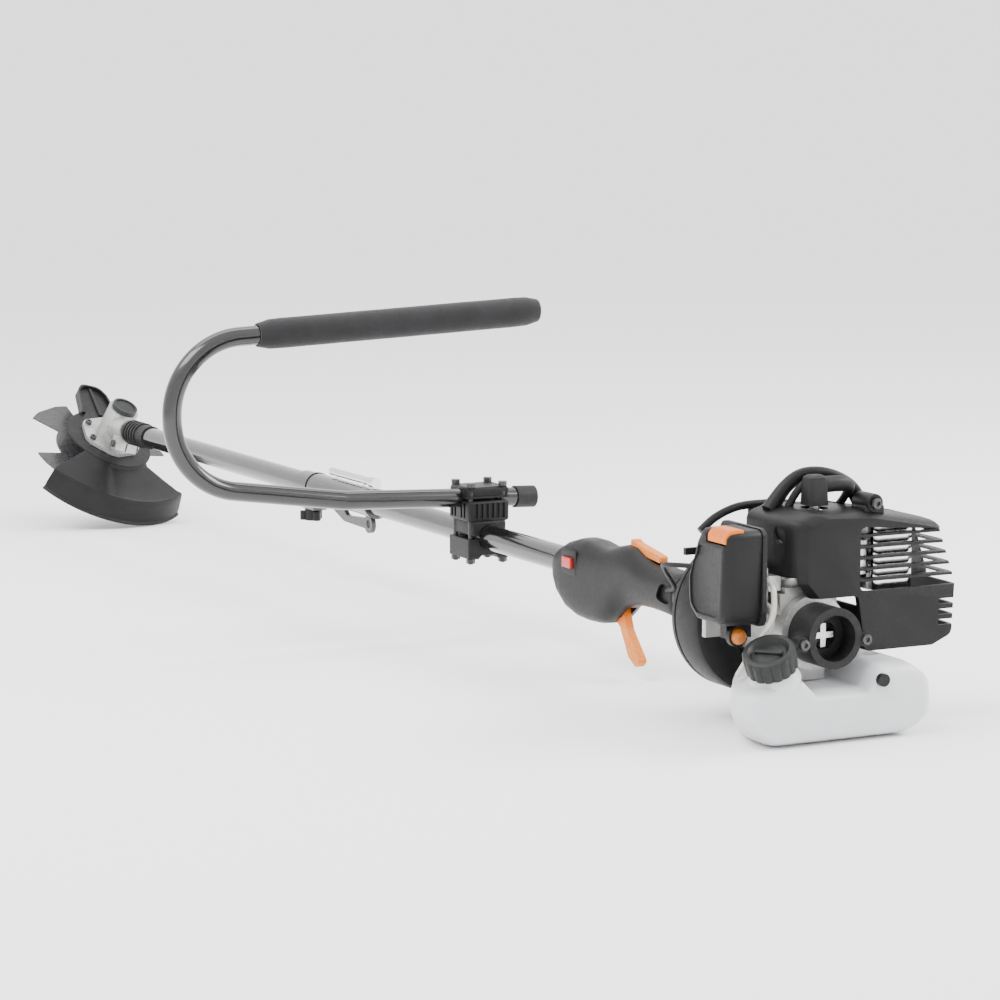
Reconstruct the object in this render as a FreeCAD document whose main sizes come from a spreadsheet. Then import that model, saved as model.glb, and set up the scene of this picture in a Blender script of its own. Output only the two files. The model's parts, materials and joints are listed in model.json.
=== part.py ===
import FreeCAD, Part
import math
import os
import re
import Sketcher
from FreeCAD import Placement, Rotation, Vector

# Petrol brush cutter with a two-piece shaft, a J-handle, a four-tooth blade and a rear-mounted engine.
# It is designed along its shaft: +X runs from the gearbox back to the engine, +Y is the operator's
# right, +Z is up, and the shaft axis is Y = Z = 0 with the blade axis crossing it at X = 0. The head
# is designed about the blade axis and then tilted. Every node is last moved so that the tank and the
# guard stand on Z = 0 with the bounding box centred on the origin.

SIZES = {
    # how the finished tool lies on the ground
    "rest_pitch": 1.2336, "axis_height": 123.335, "shift_x": -818.83, "shift_y": 100.24,
    "head_tilt": 30, "head_roll": 16, "seat_gap": 0.02, "running_gap": 0.05, "loose_gap": 0.3,
    # gearbox, about the blade axis
    "case_radius": 20, "case_top": 29, "case_base": -19, "case_bore": 15.8, "arm_radius": 16.5,
    "arm_length": 60, "arm_bore_depth": 20, "flange_radius": 43, "flange_thick": 5, "plug_radius": 16.5,
    "plug_height": 6, "pinch_drop": 20, "pinch_station": 47, "pinch_length": 34,
    # bevel gears and the spindle
    "cone_distance": 23, "face_width": 7.5, "pinion_cone": 26.1, "gear_cone": 33.9,
    "pinion_teeth": 15, "gear_teeth": 19, "tooth_rise": 0.8, "tooth_depth": 1.3,
    "spindle_radius": 5, "spindle_top": 27.5, "spindle_end": -63, "bearing_radius": 13, "bearing_width": 7.5,
    "top_bearing_base": 20.6, "low_bearing_base": -17, "input_bearing_radius": 11, "input_bearing_start": 26,
    # blade and its clamp
    "blade_top": -44, "blade_thick": 2, "blade_radius": 101.5, "blade_root_radius": 64,
    "blade_bore_radius": 12.7, "blade_teeth": 4, "washer_radius": 22, "cup_radius": 20, "cup_height": 6,
    "nut_height": 8, "nut_radius": 9,
    # blade guard, about the blade axis
    "guard_top": -19.3, "guard_wall": 3, "guard_hub_radius": 58, "ridge_radius": 118, "ridge_drop": 12,
    "lip_radius": 127, "lip_level": -62, "guard_start": -47, "guard_sweep": 100, "lobe_reach": 116,
    "lobe_width": 46, "lobe_side": 4, "lobe_rim": 8, "guard_bore_radius": 21,
    # shaft and its coupler
    "tube_radius": 12.7, "tube_wall": 1.5, "collar_start": 60.3, "collar_end": 132, "collar_radius": 16,
    "lower_tube_start": 40.3, "lower_tube_end": 762, "upper_tube_start": 762.6, "upper_tube_end": 1516,
    "drive_radius": 3.5, "drive_start": 44, "drive_end": 1519, "sleeve_start": 650, "sleeve_end": 815,
    "sleeve_wall": 2.6, "bushing_pitch": 300, "bushing_start": 240, "bushing_length": 16,
    "knob_station": 640, "knob_drop": 38, "knob_radius": 13, "knob_height": 13, "ear_width": 16,
    "rail_start": 694, "rail_end": 812, "rail_radius": 4.2, "rail_height": 22.2, "rail_cap_length": 13,
    "hanger_start": 701, "hanger_eye": 795, "hanger_drop": 24, "eye_radius": 10, "eye_bore": 4.5,
    # J-handle and its clamp
    "handle_station": 1062, "bar_radius": 9.5, "bar_wall": 1.5, "bar_low_right": 35.5, "bar_right": 58,
    "bar_bend_y": -150, "bar_bend_z": 44, "loop_left": -331, "loop_low_z": 69, "loop_high_z": 208,
    "bar_top_right": 58, "bar_top_z": 224.7, "loop_radius": 74, "bend_radius": 60,
    "grip_foam_radius": 15.2, "grip_foam_gap": 89, "grip_foam_end": 64, "cap_wall": 1.6, "cap_length": 22,
    "clamp_length": 46, "clamp_left": -24, "clamp_right": 22, "clamp_split": 2, "clamp_base_depth": 22,
    "clamp_cap_rise": 13, "bar_over_shaft": 38.1, "clamp_bolt_radius": 2.5, "clamp_bolt_inset": 6,
    # throttle handle, in the plane of the shaft
    "shell_half_width": 21, "shell_rear": 1484, "shell_front": 1251, "shell_round": 3.5, "trigger_half": 4,
    "trigger_pivot_x": 1358, "trigger_pivot_z": -35, "lockout_pivot_x": 1386, "lockout_pivot_z": 24,
    "switch_x": 1291, "switch_z": 5, "switch_length": 17, "switch_height": 10, "switch_proud": 3,
    # clutch, crank and fan housing
    "neck_start": 1486, "cone_start": 1500, "cone_end": 1572, "cone_radius": 62, "neck_radius": 19.5,
    "drum_radius": 31, "drum_wall": 3, "drum_start": 1536, "drum_end": 1562, "shoe_radius": 26,
    "drum_shaft_radius": 6, "fan_end": 1612, "fan_radius": 67, "fan_wall": 3.5, "flywheel_radius": 42,
    "flywheel_start": 1582, "flywheel_end": 1600, "arch_radius": 102.5, "arch_bar": 8,
    "crank_radius": 6, "crank_x": 1655, "web_radius": 22, "web_gap": 11, "web_thick": 5, "throw": 13,
    "crankcase_radius": 32, "crankcase_start": 1613, "crankcase_end": 1692, "crank_chamber": 24,
    "crankcase_deck": 33, "foot_half_width": 15,
    # cylinder
    "bore_radius": 17, "barrel_radius": 22, "head_level": 90, "fin_count": 7, "fin_pitch": 6.2,
    "fin_thick": 1.8, "fin_half_x": 33, "fin_left": 23, "fin_right": 30,
    "piston_height": 20, "piston_pin_level": 66,
    "plug_x": 1664, "plug_y": 16, "plug_top": 108,
    # start port
    "port_end": 1725, "port_radius": 26, "port_bore": 19.5, "ear_offset": 30.5, "ear_radius": 6.5,
    "port_depth": 19,
    # carburettor and air filter on the left
    "filter_start": 1628, "filter_end": 1698, "filter_outer": -90, "filter_inner": -51, "filter_top": 92,
    "filter_bottom": 9.5, "filter_wall": 2.6, "filter_plate": 4, "carb_half": 15, "carb_low": 20,
    "carb_high": 54,
    "carb_right": -31,
    # fuel tank
    "tank_start": 1634, "tank_end": 1740, "tank_bottom": -86, "tank_wall": 2.6, "corner_front": -46.5,
    "corner_slope": 0.554, "cap_radius": 23,
    "cap_height": 20, "cap_x": 1730, "cap_y": -69, "cap_z": -2.4, "cap_lean_side": 24.6,
    "cap_lean_back": 16.8,
    "neck_bore": 13,
    # muffler and engine cover on the right
    "muffler_left": 62, "muffler_right": 106, "muffler_low": 30, "muffler_high": 86, "muffler_start": 1630,
    "muffler_end": 1684, "cover_start": 1624, "cover_end": 1700, "cover_left": -27, "cover_step": 38,
    "cover_right": 124, "cover_flank": 140, "cover_flank_top": 38, "cover_top": 103, "cover_top_right": 89,
    "cover_low": 29, "skirt_low": -19,
    "cover_wall": 3, "grille_low": 33, "grille_bars": 5, "grille_pitch": 9.8, "grille_slot": 7.4,
    "grille_left": 38,
}

NAME = re.compile(r"[a-z_]+")
AXIS_TURN = {
    "x": Rotation(Vector(0, 1, 0), 90),
    "y": Rotation(Vector(1, 0, 0), -90),
    "z": Rotation(),
}

os.makedirs("parts", exist_ok=True)
doc = FreeCAD.newDocument("brush_cutter")
sheet = doc.addObject("Spreadsheet::Sheet", "size")
for row, (alias, number) in enumerate(SIZES.items(), start=1):
    sheet.set(f"A{row}", alias)
    sheet.set(f"B{row}", str(number))
    sheet.setAlias(f"B{row}", alias)
doc.recompute()

nodes = []


def formula(text):
    """A formula in the sheet's aliases, as an expression of this document."""
    return NAME.sub(lambda word: f"size.{word[0]}" if word[0] in SIZES else word[0], str(text))


def number(text):
    """What such a formula comes to."""
    return float(sheet.evalExpression(formula(text)))


def point(at):
    """A vector from three formulas."""
    return Vector(*(number(text) for text in at))


def move(item, at, turn=None):
    """Turn an object and bind its place to three formulas."""
    item.Placement = Placement(Vector(), turn or Rotation())
    for axis, text in zip("xyz", at):
        item.setExpression(f"Placement.Base.{axis}", formula(text))
    return item


def block(name, low, high, turn=None):
    """A box between two corners; a turned one starts at its low corner."""
    item = doc.addObject("Part::Box", name)
    for side, start, end in zip(("Length", "Width", "Height"), low, high):
        item.setExpression(side, formula(f"({end}) - ({start})"))
    return move(item, low, turn)


def rod(name, radius, length, at, axis="z", turn=None):
    """A cylinder that starts at a point and runs along an axis."""
    item = doc.addObject("Part::Cylinder", name)
    item.setExpression("Radius", formula(radius))
    item.setExpression("Height", formula(length))
    return move(item, at, turn or AXIS_TURN[axis])


def taper(name, radius_1, radius_2, length, at, axis="z", turn=None):
    """A cone frustum that starts at a point and runs along an axis."""
    item = doc.addObject("Part::Cone", name)
    item.setExpression("Radius1", formula(radius_1))
    item.setExpression("Radius2", formula(radius_2))
    item.setExpression("Height", formula(length))
    return move(item, at, turn or AXIS_TURN[axis])


def ball(name, radius, at):
    item = doc.addObject("Part::Sphere", name)
    item.setExpression("Radius", formula(radius))
    return move(item, at)


def prism(name, sides, radius, length, at, axis="z", turn=None):
    """A regular prism, such as a nut, by its corner radius."""
    item = doc.addObject("Part::Prism", name)
    item.Polygon = sides
    item.setExpression("Circumradius", formula(radius))
    item.setExpression("Height", formula(length))
    return move(item, at, turn or AXIS_TURN[axis])


def fuse(name, items):
    if len(items) == 1:
        return items[0]
    item = doc.addObject("Part::MultiFuse", name)
    item.Shapes = items
    return item


def cut(name, base, tools):
    item = doc.addObject("Part::Cut", name)
    item.Base = base
    item.Tool = fuse(f"{name}_tools", tools)
    return item


def common(name, first, second):
    item = doc.addObject("Part::Common", name)
    item.Base = first
    item.Tool = second
    return item


def pipe(name, outer, inner, length, at, axis="z", turn=None):
    """A tube: one cylinder out of another."""
    wall = rod(f"{name}_wall", outer, length, at, axis, turn)
    hole = rod(f"{name}_hole", inner, f"({length}) + 2", at, axis, turn)
    step = hole.Placement.Rotation.multVec(Vector(0, 0, -1))
    for letter, text, share in zip("xyz", at, step):
        hole.setExpression(f"Placement.Base.{letter}", formula(f"({text}) + {share:.6f}"))
    return cut(name, wall, [hole])


def origin_plane(body, role):
    return next(item for item in body.Origin.OriginFeatures if item.Role == role)


def new_sketch(body, name, role, offset="0"):
    """A sketch on one of the body's own origin planes, raised along its normal."""
    sketch = body.newObject("Sketcher::SketchObject", name)
    sketch.AttachmentSupport = [(origin_plane(body, role), "")]
    sketch.MapMode = "FlatFace"
    sketch.setExpression("AttachmentOffset.Base.z", formula(offset))
    return sketch


def corner_arc(before, here, after, radius):
    """The two tangent points and the middle of a round corner."""
    back = (before - here).normalize()
    ahead = (after - here).normalize()
    half = back.getAngle(ahead) / 2
    run = radius / math.tan(half)
    inward = (back + ahead).normalize()
    middle = here + inward * (radius / math.sin(half) - radius)
    return here + back * run, middle, here + ahead * run


def outline(sketch, corners, closed=True):
    """Draw a run of corners (x, y, radius), each bound to its formulas; None is a sharp corner."""
    spots = [Vector(number(x), number(y), 0) for x, y, _ in corners]
    count = len(spots)
    ends = []
    for index, (here, (_, _, radius)) in enumerate(zip(spots, corners)):
        if radius is None or (not closed and index in (0, count - 1)):
            ends.append((here, None, here))
        else:
            after = spots[(index + 1) % count]
            ends.append(corner_arc(spots[index - 1], here, after, number(radius)))
    edges = []
    arcs = {}
    lines = {}
    for index in range(count):
        first, middle, last = ends[index]
        if middle is not None:
            left_turn = (middle - first).cross(last - middle).z > 0
            arcs[index] = (len(edges), left_turn)
            edges.append(Part.Arc(first, middle, last) if left_turn else Part.Arc(last, middle, first))
        if closed or index < count - 1:
            lines[index] = len(edges)
            edges.append(Part.LineSegment(last, ends[(index + 1) % count][0]))
    sketch.addGeometry(edges)
    for index, (x, y, radius) in enumerate(corners):
        line_in = lines.get(index - 1 if index else count - 1)
        line_out = lines.get(index)
        if index in arcs:
            spot = sketch.addGeometry(Part.Point(spots[index]), True)
            arc, left_turn = arcs[index]
            near, far = (1, 2) if left_turn else (2, 1)
            sketch.addConstraint(Sketcher.Constraint("Tangent", line_in, 2, arc, near))
            sketch.addConstraint(Sketcher.Constraint("Tangent", arc, far, line_out, 1))
            sketch.addConstraint(Sketcher.Constraint("PointOnObject", spot, 1, line_in))
            sketch.addConstraint(Sketcher.Constraint("PointOnObject", spot, 1, line_out))
            size = sketch.addConstraint(Sketcher.Constraint("Radius", arc, number(radius)))
            sketch.setExpression(f"Constraints[{size}]", formula(radius))
            target = (spot, 1)
        else:
            if line_in is not None and line_out is not None:
                sketch.addConstraint(Sketcher.Constraint("Coincident", line_in, 2, line_out, 1))
            target = (line_out, 1) if line_out is not None else (line_in, 2)
        for kind, text, value in (("DistanceX", x, spots[index].x), ("DistanceY", y, spots[index].y)):
            size = sketch.addConstraint(Sketcher.Constraint(kind, -1, 1, *target, value))
            sketch.setExpression(f"Constraints[{size}]", formula(text))


def padded(name, role, corners, length, offset="0"):
    """A body: a closed outline on an origin plane, padded along the plane's normal."""
    body = doc.addObject("PartDesign::Body", name)
    sketch = new_sketch(body, f"{name}_outline", role, offset)
    outline(sketch, corners)
    pad = body.newObject("PartDesign::Pad", f"{name}_pad")
    pad.Profile = sketch
    pad.setExpression("Length", formula(length))
    sketch.Visibility = False
    return body


def turned(name, corners, angle="360", axis="H_Axis", role="XZ_Plane"):
    """A body: a closed outline in a plane through the axis, revolved about it."""
    body = doc.addObject("PartDesign::Body", name)
    sketch = new_sketch(body, f"{name}_outline", role)
    outline(sketch, corners)
    spin = body.newObject("PartDesign::Revolution", f"{name}_spin")
    spin.Profile = sketch
    spin.ReferenceAxis = (sketch, [axis])
    spin.setExpression("Angle", formula(angle))
    return body


def rounded(name, base, radius, chosen):
    """Round the edges of a plain object whose middle point passes a test."""
    doc.recompute()
    picked = []
    for index, edge in enumerate(base.Shape.Edges, start=1):
        if chosen(edge.CenterOfMass, edge):
            picked.append((index, number(radius), number(radius)))
    item = doc.addObject("Part::Fillet", name)
    item.Base = base
    item.Edges = picked
    return item


def runs_along(axis):
    """A test for straight edges along one axis, for rounded()."""
    return lambda middle, edge: abs(getattr(edge.tangentAt(edge.FirstParameter), axis)) > 0.9


def cord(name, spots, radius):
    """A held cord: straight runs joined by tangent arcs, with a round section."""
    spots = [point(spot) for spot in spots]
    runs = [(b - a).Length for a, b in zip(spots, spots[1:])]
    edges = []
    start = spots[0]
    for index in range(1, len(spots) - 1):
        here = spots[index]
        back = (spots[index - 1] - here).normalize()
        ahead = (spots[index + 1] - here).normalize()
        half = back.getAngle(ahead) / 2
        bend = 0.45 * min(runs[index - 1], runs[index]) * math.tan(half)
        first, middle, last = corner_arc(spots[index - 1], here, spots[index + 1], bend)
        edges.append(Part.LineSegment(start, first).toShape())
        edges.append(Part.Arc(first, middle, last).toShape())
        start = last
        print(f"{name} bend {index} radius {bend:.1f}")
    edges.append(Part.LineSegment(start, spots[-1]).toShape())
    path = Part.Wire(edges)
    circle = Part.Wire(Part.makeCircle(number(radius), spots[0], spots[1] - spots[0]))
    item = doc.addObject("Part::Feature", name)
    item.Shape = path.makePipeShell([circle], True, False)
    print(f"{name} length {path.Length:.1f}")
    return item


LINE_PLACE = "placement(vector(shift_x; shift_y; axis_height); rotation(vector(0; 1; 0); rest_pitch))"
HEAD_PLACE = (
    "placement(vector(shift_x; shift_y; axis_height);"
    " rotation(vector(0; 1; 0); rest_pitch) * rotation(vector(1; 0; 0); -head_roll)"
    " * rotation(vector(0; 1; 0); head_tilt))"
)


def node(name, items, place=LINE_PLACE):
    """Gather a sub-part's solids under its name and move them to where the tool lies."""
    item = doc.addObject("Part::Compound", name)
    item.Links = items
    item.Label = name
    item.setExpression("Placement", formula(place))
    nodes.append(item)
    return item


def arm_turn():
    """In the head's own frame the shaft rises rearward by the head's tilt."""
    return Rotation(Vector(0, 1, 0), 90 - number("head_tilt"))


def along_arm(distance, side="0", drop="0"):
    """A point in the head's frame, by its distance along the shaft and its drop below it."""
    return (
        f"({distance}) * cos(head_tilt) + ({drop}) * sin(head_tilt)",
        side,
        f"({distance}) * sin(head_tilt) - ({drop}) * cos(head_tilt)",
    )


# ---------------------------------------------------------------- head

def gear_housing():
    barrel = rod("case_barrel", "case_radius", "case_top - case_base", ("0", "0", "case_base"))
    arm = rod("case_arm", "arm_radius", "arm_length", along_arm("0"), turn=arm_turn())
    lug = block("case_lug", along_arm("pinch_station - 9", "-14", "pinch_drop + 7"),
                ("18 + " + along_arm("pinch_station - 9", "0", "pinch_drop + 7")[0], "14",
                 "18 + " + along_arm("pinch_station - 9", "0", "pinch_drop + 7")[2]),
                Rotation(Vector(0, 1, 0), -number("head_tilt")))
    flange = prism("case_flange", 6, "flange_radius", "flange_thick", ("0", "0", "case_base"))
    flange_round = rod("case_flange_round", "flange_radius - 3", "flange_thick", ("0", "0", "case_base"))
    foot = common("case_foot", flange, flange_round)
    whole = fuse("case_whole", [barrel, arm, lug, foot])
    chamber = rod("case_chamber", "case_bore", "top_bearing_base + 9", ("0", "0", "-9"))
    top_seat = rod("case_top_seat", "bearing_radius + seat_gap", "20", ("0", "0", "top_bearing_base - 1"))
    low_seat = rod("case_low_seat", "bearing_radius + seat_gap", "20", ("0", "0", "case_base - 1"))
    arm_bore = rod("case_arm_bore", "tube_radius + seat_gap", "arm_bore_depth + 5",
                   along_arm("arm_length - arm_bore_depth"), turn=arm_turn())
    input_seat = rod("case_input_seat", "input_bearing_radius + seat_gap", "arm_length",
                     along_arm("6"), turn=arm_turn())
    split = block("case_split", along_arm("pinch_station - 14", "-1", "pinch_drop + 8"),
                  ("40 + " + along_arm("pinch_station - 14", "0", "pinch_drop + 8")[0], "1",
                   "20 + " + along_arm("pinch_station - 14", "0", "pinch_drop + 8")[2]),
                  Rotation(Vector(0, 1, 0), -number("head_tilt")))
    pinch = rod("case_pinch_bore", "2.6", "40", along_arm("pinch_station", "-20", "pinch_drop"), "y")
    screws = [
        rod(f"case_screw_bore_{index}", "2.6", "8",
            (f"34 * cos({angle})", f"34 * sin({angle})", "case_base - 1"))
        for index, angle in enumerate((60, 120, 240, 300))
    ]
    tools = [chamber, top_seat, low_seat, arm_bore, input_seat, split, pinch] + screws
    node("gear_housing", [cut("case", whole, tools)], HEAD_PLACE)
    plug = rod("plug_disc", "plug_radius", "plug_height", ("0", "0", "case_top"))
    dish = rod("plug_dish", "plug_radius - 3", "2", ("0", "0", "case_top + plug_height - 1.2"))
    node("housing_plug", [cut("plug", plug, [dish])], HEAD_PLACE)


def gearbox_bolts():
    """Four screws hold the guard to the flange, and a bolt and nut pinch the arm on the tube."""
    items = []
    for index, angle in enumerate((60, 120, 240, 300)):
        x, y = f"34 * cos({angle})", f"34 * sin({angle})"
        stem = rod(f"flange_screw_stem_{index}", "2.5", "flange_thick + 3", (x, y, "case_base - 3"))
        head = rod(f"flange_screw_head_{index}", "4.2", "4", (x, y, "case_base + flange_thick"))
        socket = prism(f"flange_screw_socket_{index}", 6, "2", "3", (x, y, "case_base + flange_thick + 2"))
        items.append(cut(f"flange_screw_{index}", fuse(f"flange_screw_solid_{index}", [stem, head]),
                         [socket]))
    stem = rod("pinch_stem", "2.5", "pinch_length + 2",
               along_arm("pinch_station", "-pinch_length / 2", "pinch_drop"), "y")
    head = prism("pinch_head", 6, "4.6", "3.6", along_arm("pinch_station", "14", "pinch_drop"), "y")
    nut = prism("pinch_nut", 6, "4.6", "3.6", along_arm("pinch_station", "-17.6", "pinch_drop"), "y")
    items.append(fuse("pinch_bolt", [stem, head, nut]))
    node("gearbox_bolts", items, HEAD_PLACE)


def bevel_teeth(name, teeth, cone, phase):
    """A straight bevel gear on +Z with its apex at the origin: a root cone and lofted teeth."""
    far = number("cone_distance")
    near = far - number("face_width")
    cone_angle = math.radians(number(cone))
    count = int(number(teeth))
    rise = number("tooth_rise")
    depth = number("tooth_depth")
    sections = {}
    for distance in (near, far):
        scale = distance / far
        radius = distance * math.sin(cone_angle)
        level = distance * math.cos(cone_angle)
        out = Vector(math.cos(cone_angle), 0, -math.sin(cone_angle))
        root = Vector(radius, 0, level) - out * depth * scale
        tip = Vector(radius, 0, level) + out * rise * scale
        half_pitch = math.pi / count
        sections[distance] = [
            (root - out * 0.5, 0.60 * half_pitch), (root, 0.60 * half_pitch), (tip, 0.24 * half_pitch),
        ]
    solids = []
    for index in range(count):
        angle = phase + 2 * math.pi * index / count
        rings = []
        for distance in (near, far):
            left = [Vector(p.x * math.cos(angle + w), p.x * math.sin(angle + w), p.z)
                    for p, w in sections[distance]]
            right = [Vector(p.x * math.cos(angle - w), p.x * math.sin(angle - w), p.z)
                     for p, w in reversed(sections[distance])]
            loop = left + right
            rings.append(Part.makePolygon(loop + loop[:1]))
        solids.append(Part.makeLoft(rings, True, True))
    near_root, far_root = sections[near][1][0], sections[far][1][0]
    core = Part.makeCone(near_root.x, far_root.x, far_root.z - near_root.z, Vector(0, 0, near_root.z))
    item = doc.addObject("Part::Feature", name)
    item.Shape = core.multiFuse(solids)
    return item


def output_spindle():
    """The spindle carries the driven bevel gear and ends in the thread that holds the blade."""
    gear = bevel_teeth("driven_gear", "gear_teeth", "gear_cone", math.pi / number("gear_teeth"))
    post = rod("spindle_post", "spindle_radius", "spindle_top - spindle_end", ("0", "0", "spindle_end"))
    shoulder = rod("spindle_shoulder", "8", "2.4", ("0", "0", "low_bearing_base - 2.6"))
    hub = rod("gear_hub", "7.5", "5", ("0", "0", "cone_distance * cos(gear_cone) - 4.4"))
    node("output_spindle", [fuse("spindle", [gear, post, shoulder, hub])], HEAD_PLACE)


def blade_clamp():
    """A carrier with a pilot in the blade's bore, and a cup below it."""
    carrier = rod("carrier_disc", "washer_radius", "6", ("0", "0", "blade_top"))
    neck = rod("carrier_neck", "11", "case_base - blade_top - 6.6", ("0", "0", "blade_top"))
    pilot = rod("carrier_pilot", "blade_bore_radius - running_gap", "blade_thick - 0.2",
                ("0", "0", "blade_top - blade_thick + 0.2"))
    bore = rod("carrier_bore", "spindle_radius + seat_gap", "40", ("0", "0", "blade_top - 10"))
    carrier = cut("carrier", fuse("carrier_whole", [carrier, neck, pilot]), [bore])
    cup = taper("cup_cone", "cup_radius - 5", "cup_radius", "cup_height",
                ("0", "0", "blade_top - blade_thick - cup_height"))
    cup_bore = rod("cup_bore", "spindle_radius + seat_gap", "20", ("0", "0", "blade_top - 15"))
    node("blade_washers", [carrier, cut("cup", cup, [cup_bore])], HEAD_PLACE)
    nut = prism("nut_prism", 6, "nut_radius", "nut_height",
                ("0", "0", "blade_top - blade_thick - cup_height - nut_height"))
    nut_bore = rod("nut_bore", "spindle_radius + seat_gap", "20",
                   ("0", "0", "blade_top - blade_thick - cup_height - nut_height - 2"))
    node("blade_nut", [cut("nut", nut, [nut_bore])], HEAD_PLACE)


def cutting_blade():
    """A disc with four wide teeth, each with a rounded gullet beside it."""
    body = doc.addObject("PartDesign::Body", "blade_body")
    root = new_sketch(body, "blade_root_sketch", "XY_Plane", "blade_top - blade_thick")
    root.addGeometry(Part.Circle(Vector(), Vector(0, 0, 1), number("blade_root_radius")))
    root.addConstraint(Sketcher.Constraint("Coincident", 0, 3, -1, 1))
    size = root.addConstraint(Sketcher.Constraint("Radius", 0, number("blade_root_radius")))
    root.setExpression(f"Constraints[{size}]", formula("blade_root_radius"))
    disc = body.newObject("PartDesign::Pad", "blade_disc")
    disc.Profile = root
    disc.setExpression("Length", formula("blade_thick"))
    tooth_sketch = new_sketch(body, "blade_tooth_sketch", "XY_Plane", "blade_top - blade_thick")

    def polar(radius, angle, corner=None):
        return (f"({radius}) * cos({angle})", f"({radius}) * sin({angle})", corner)

    outline(tooth_sketch, [
        polar("blade_root_radius - 14", 19), polar("blade_radius + 6", 19, "3"),
        polar("blade_radius + 6", 62, "3"), polar("blade_root_radius - 14", 62),
    ])
    tooth = body.newObject("PartDesign::Pad", "blade_tooth")
    tooth.Profile = tooth_sketch
    tooth.setExpression("Length", formula("blade_thick"))
    ring = body.newObject("PartDesign::PolarPattern", "blade_ring")
    ring.Originals = [tooth]
    ring.Axis = (root, ["N_Axis"])
    ring.Angle = 360
    ring.Occurrences = int(number("blade_teeth"))
    body.Tip = ring
    rim = rod("blade_rim", "blade_radius", "blade_thick + 2", ("0", "0", "blade_top - blade_thick - 1"))
    bore = rod("blade_bore", "blade_bore_radius", "blade_thick + 2",
               ("0", "0", "blade_top - blade_thick - 1"))
    node("cutting_blade", [cut("blade", common("blade_star", body, rim), [bore])], HEAD_PLACE)


def blade_guard():
    """A deck under the gearbox flange, a flared rear skirt and a forward lobe."""
    hub = rod("guard_hub", "guard_hub_radius", "guard_wall", ("0", "0", "guard_top - guard_wall"))
    skirt = turned("guard_skirt", [
        ("20", "guard_top - guard_wall", None),
        ("48", "guard_top - guard_wall", None),
        ("ridge_radius - 2", "guard_top - ridge_drop - guard_wall - 1", None),
        ("lip_radius - 6", "lip_level + 3", None),
        ("lip_radius - 5", "lip_level", None),
        ("lip_radius", "lip_level", None),
        ("lip_radius - 1", "lip_level + 6", None),
        ("ridge_radius + 1.5", "guard_top - ridge_drop", "3"),
        ("48", "guard_top", None),
        ("20", "guard_top", None),
    ], "guard_sweep", "V_Axis")
    skirt.Placement = Placement(Vector(), Rotation(Vector(0, 0, 1), number("guard_start")))
    lobe_turn = Rotation(Vector(0, 0, 1), 180 + number("lobe_side"))
    lobe = block("lobe_plate", ("0", "-lobe_width / 2", "guard_top - guard_wall"),
                 ("lobe_reach - lobe_width / 2", "lobe_width / 2", "guard_top"))
    tip = rod("lobe_tip", "lobe_width / 2", "guard_wall",
              ("lobe_reach - lobe_width / 2", "0", "guard_top - guard_wall"))
    rim_block = block("lobe_rim_block", ("40", "-lobe_width / 2", "guard_top - lobe_rim"),
                      ("lobe_reach - lobe_width / 2", "lobe_width / 2", "guard_top + 4"))
    rim_tip = rod("lobe_rim_tip", "lobe_width / 2", "lobe_rim + 4",
                  ("lobe_reach - lobe_width / 2", "0", "guard_top - lobe_rim"))
    rim_solid = fuse("lobe_rim_solid", [rim_block, rim_tip])
    core_block = block("lobe_core_block", ("20", "-lobe_width / 2 + 3", "guard_top - lobe_rim - 1"),
                       ("lobe_reach - lobe_width / 2", "lobe_width / 2 - 3", "guard_top + 5"))
    core_tip = rod("lobe_core_tip", "lobe_width / 2 - 3", "lobe_rim + 6",
                   ("lobe_reach - lobe_width / 2", "0", "guard_top - lobe_rim - 1"))
    rim = cut("lobe_rim_wall", rim_solid, [core_block, core_tip])
    lobe = fuse("lobe_whole", [lobe, tip, rim])
    lobe.Placement = Placement(Vector(), lobe_turn)
    hole = rod("guard_hole", "guard_bore_radius", "40", ("0", "0", "guard_top - 30"))
    screws = [
        rod(f"guard_screw_bore_{index}", "2.6", "20",
            (f"34 * cos({angle})", f"34 * sin({angle})", "guard_top - 10"))
        for index, angle in enumerate((60, 120, 240, 300))
    ]
    node("blade_guard", [cut("guard", fuse("guard_whole", [hub, skirt, lobe]), [hole] + screws)], HEAD_PLACE)


# ---------------------------------------------------------------- shaft

def bevel_pinion():
    """The driving pinion sits on the shaft axis; one tooth meets the driven gear's gap."""
    pinion = bevel_teeth("pinion_cone_gear", "pinion_teeth", "pinion_cone", math.pi)
    pinion.Placement = Placement(Vector(), AXIS_TURN["x"])
    stub = rod("pinion_stub", "drive_radius + 0.5", "drive_start - cone_distance * cos(pinion_cone) + 1",
               ("cone_distance * cos(pinion_cone) - 1", "0", "0"), "x")
    node("bevel_pinion", [fuse("pinion", [pinion, stub])])


def shaft_tubes():
    length = "lower_tube_end - lower_tube_start"
    node("lower_tube", [pipe("tube_low", "tube_radius", "tube_radius - tube_wall", length,
                             ("lower_tube_start", "0", "0"), "x")])
    length = "upper_tube_end - upper_tube_start"
    node("upper_tube", [pipe("tube_high", "tube_radius", "tube_radius - tube_wall", length,
                             ("upper_tube_start", "0", "0"), "x")])


def shaft_collar():
    """A ribbed rubber sleeve behind the gearbox."""
    sleeve = rod("collar_sleeve", "collar_radius - 1.5", "collar_end - collar_start",
                 ("collar_start", "0", "0"), "x")
    ribs = [
        rod(f"collar_rib_{index}", "collar_radius", "4", (f"collar_start + {7 + 9 * index}", "0", "0"), "x")
        for index in range(5)
    ]
    hole = rod("collar_hole", "tube_radius + seat_gap", "200", ("collar_start - 10", "0", "0"), "x")
    node("shaft_collar", [cut("collar", fuse("collar_whole", [sleeve] + ribs), [hole])])


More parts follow.
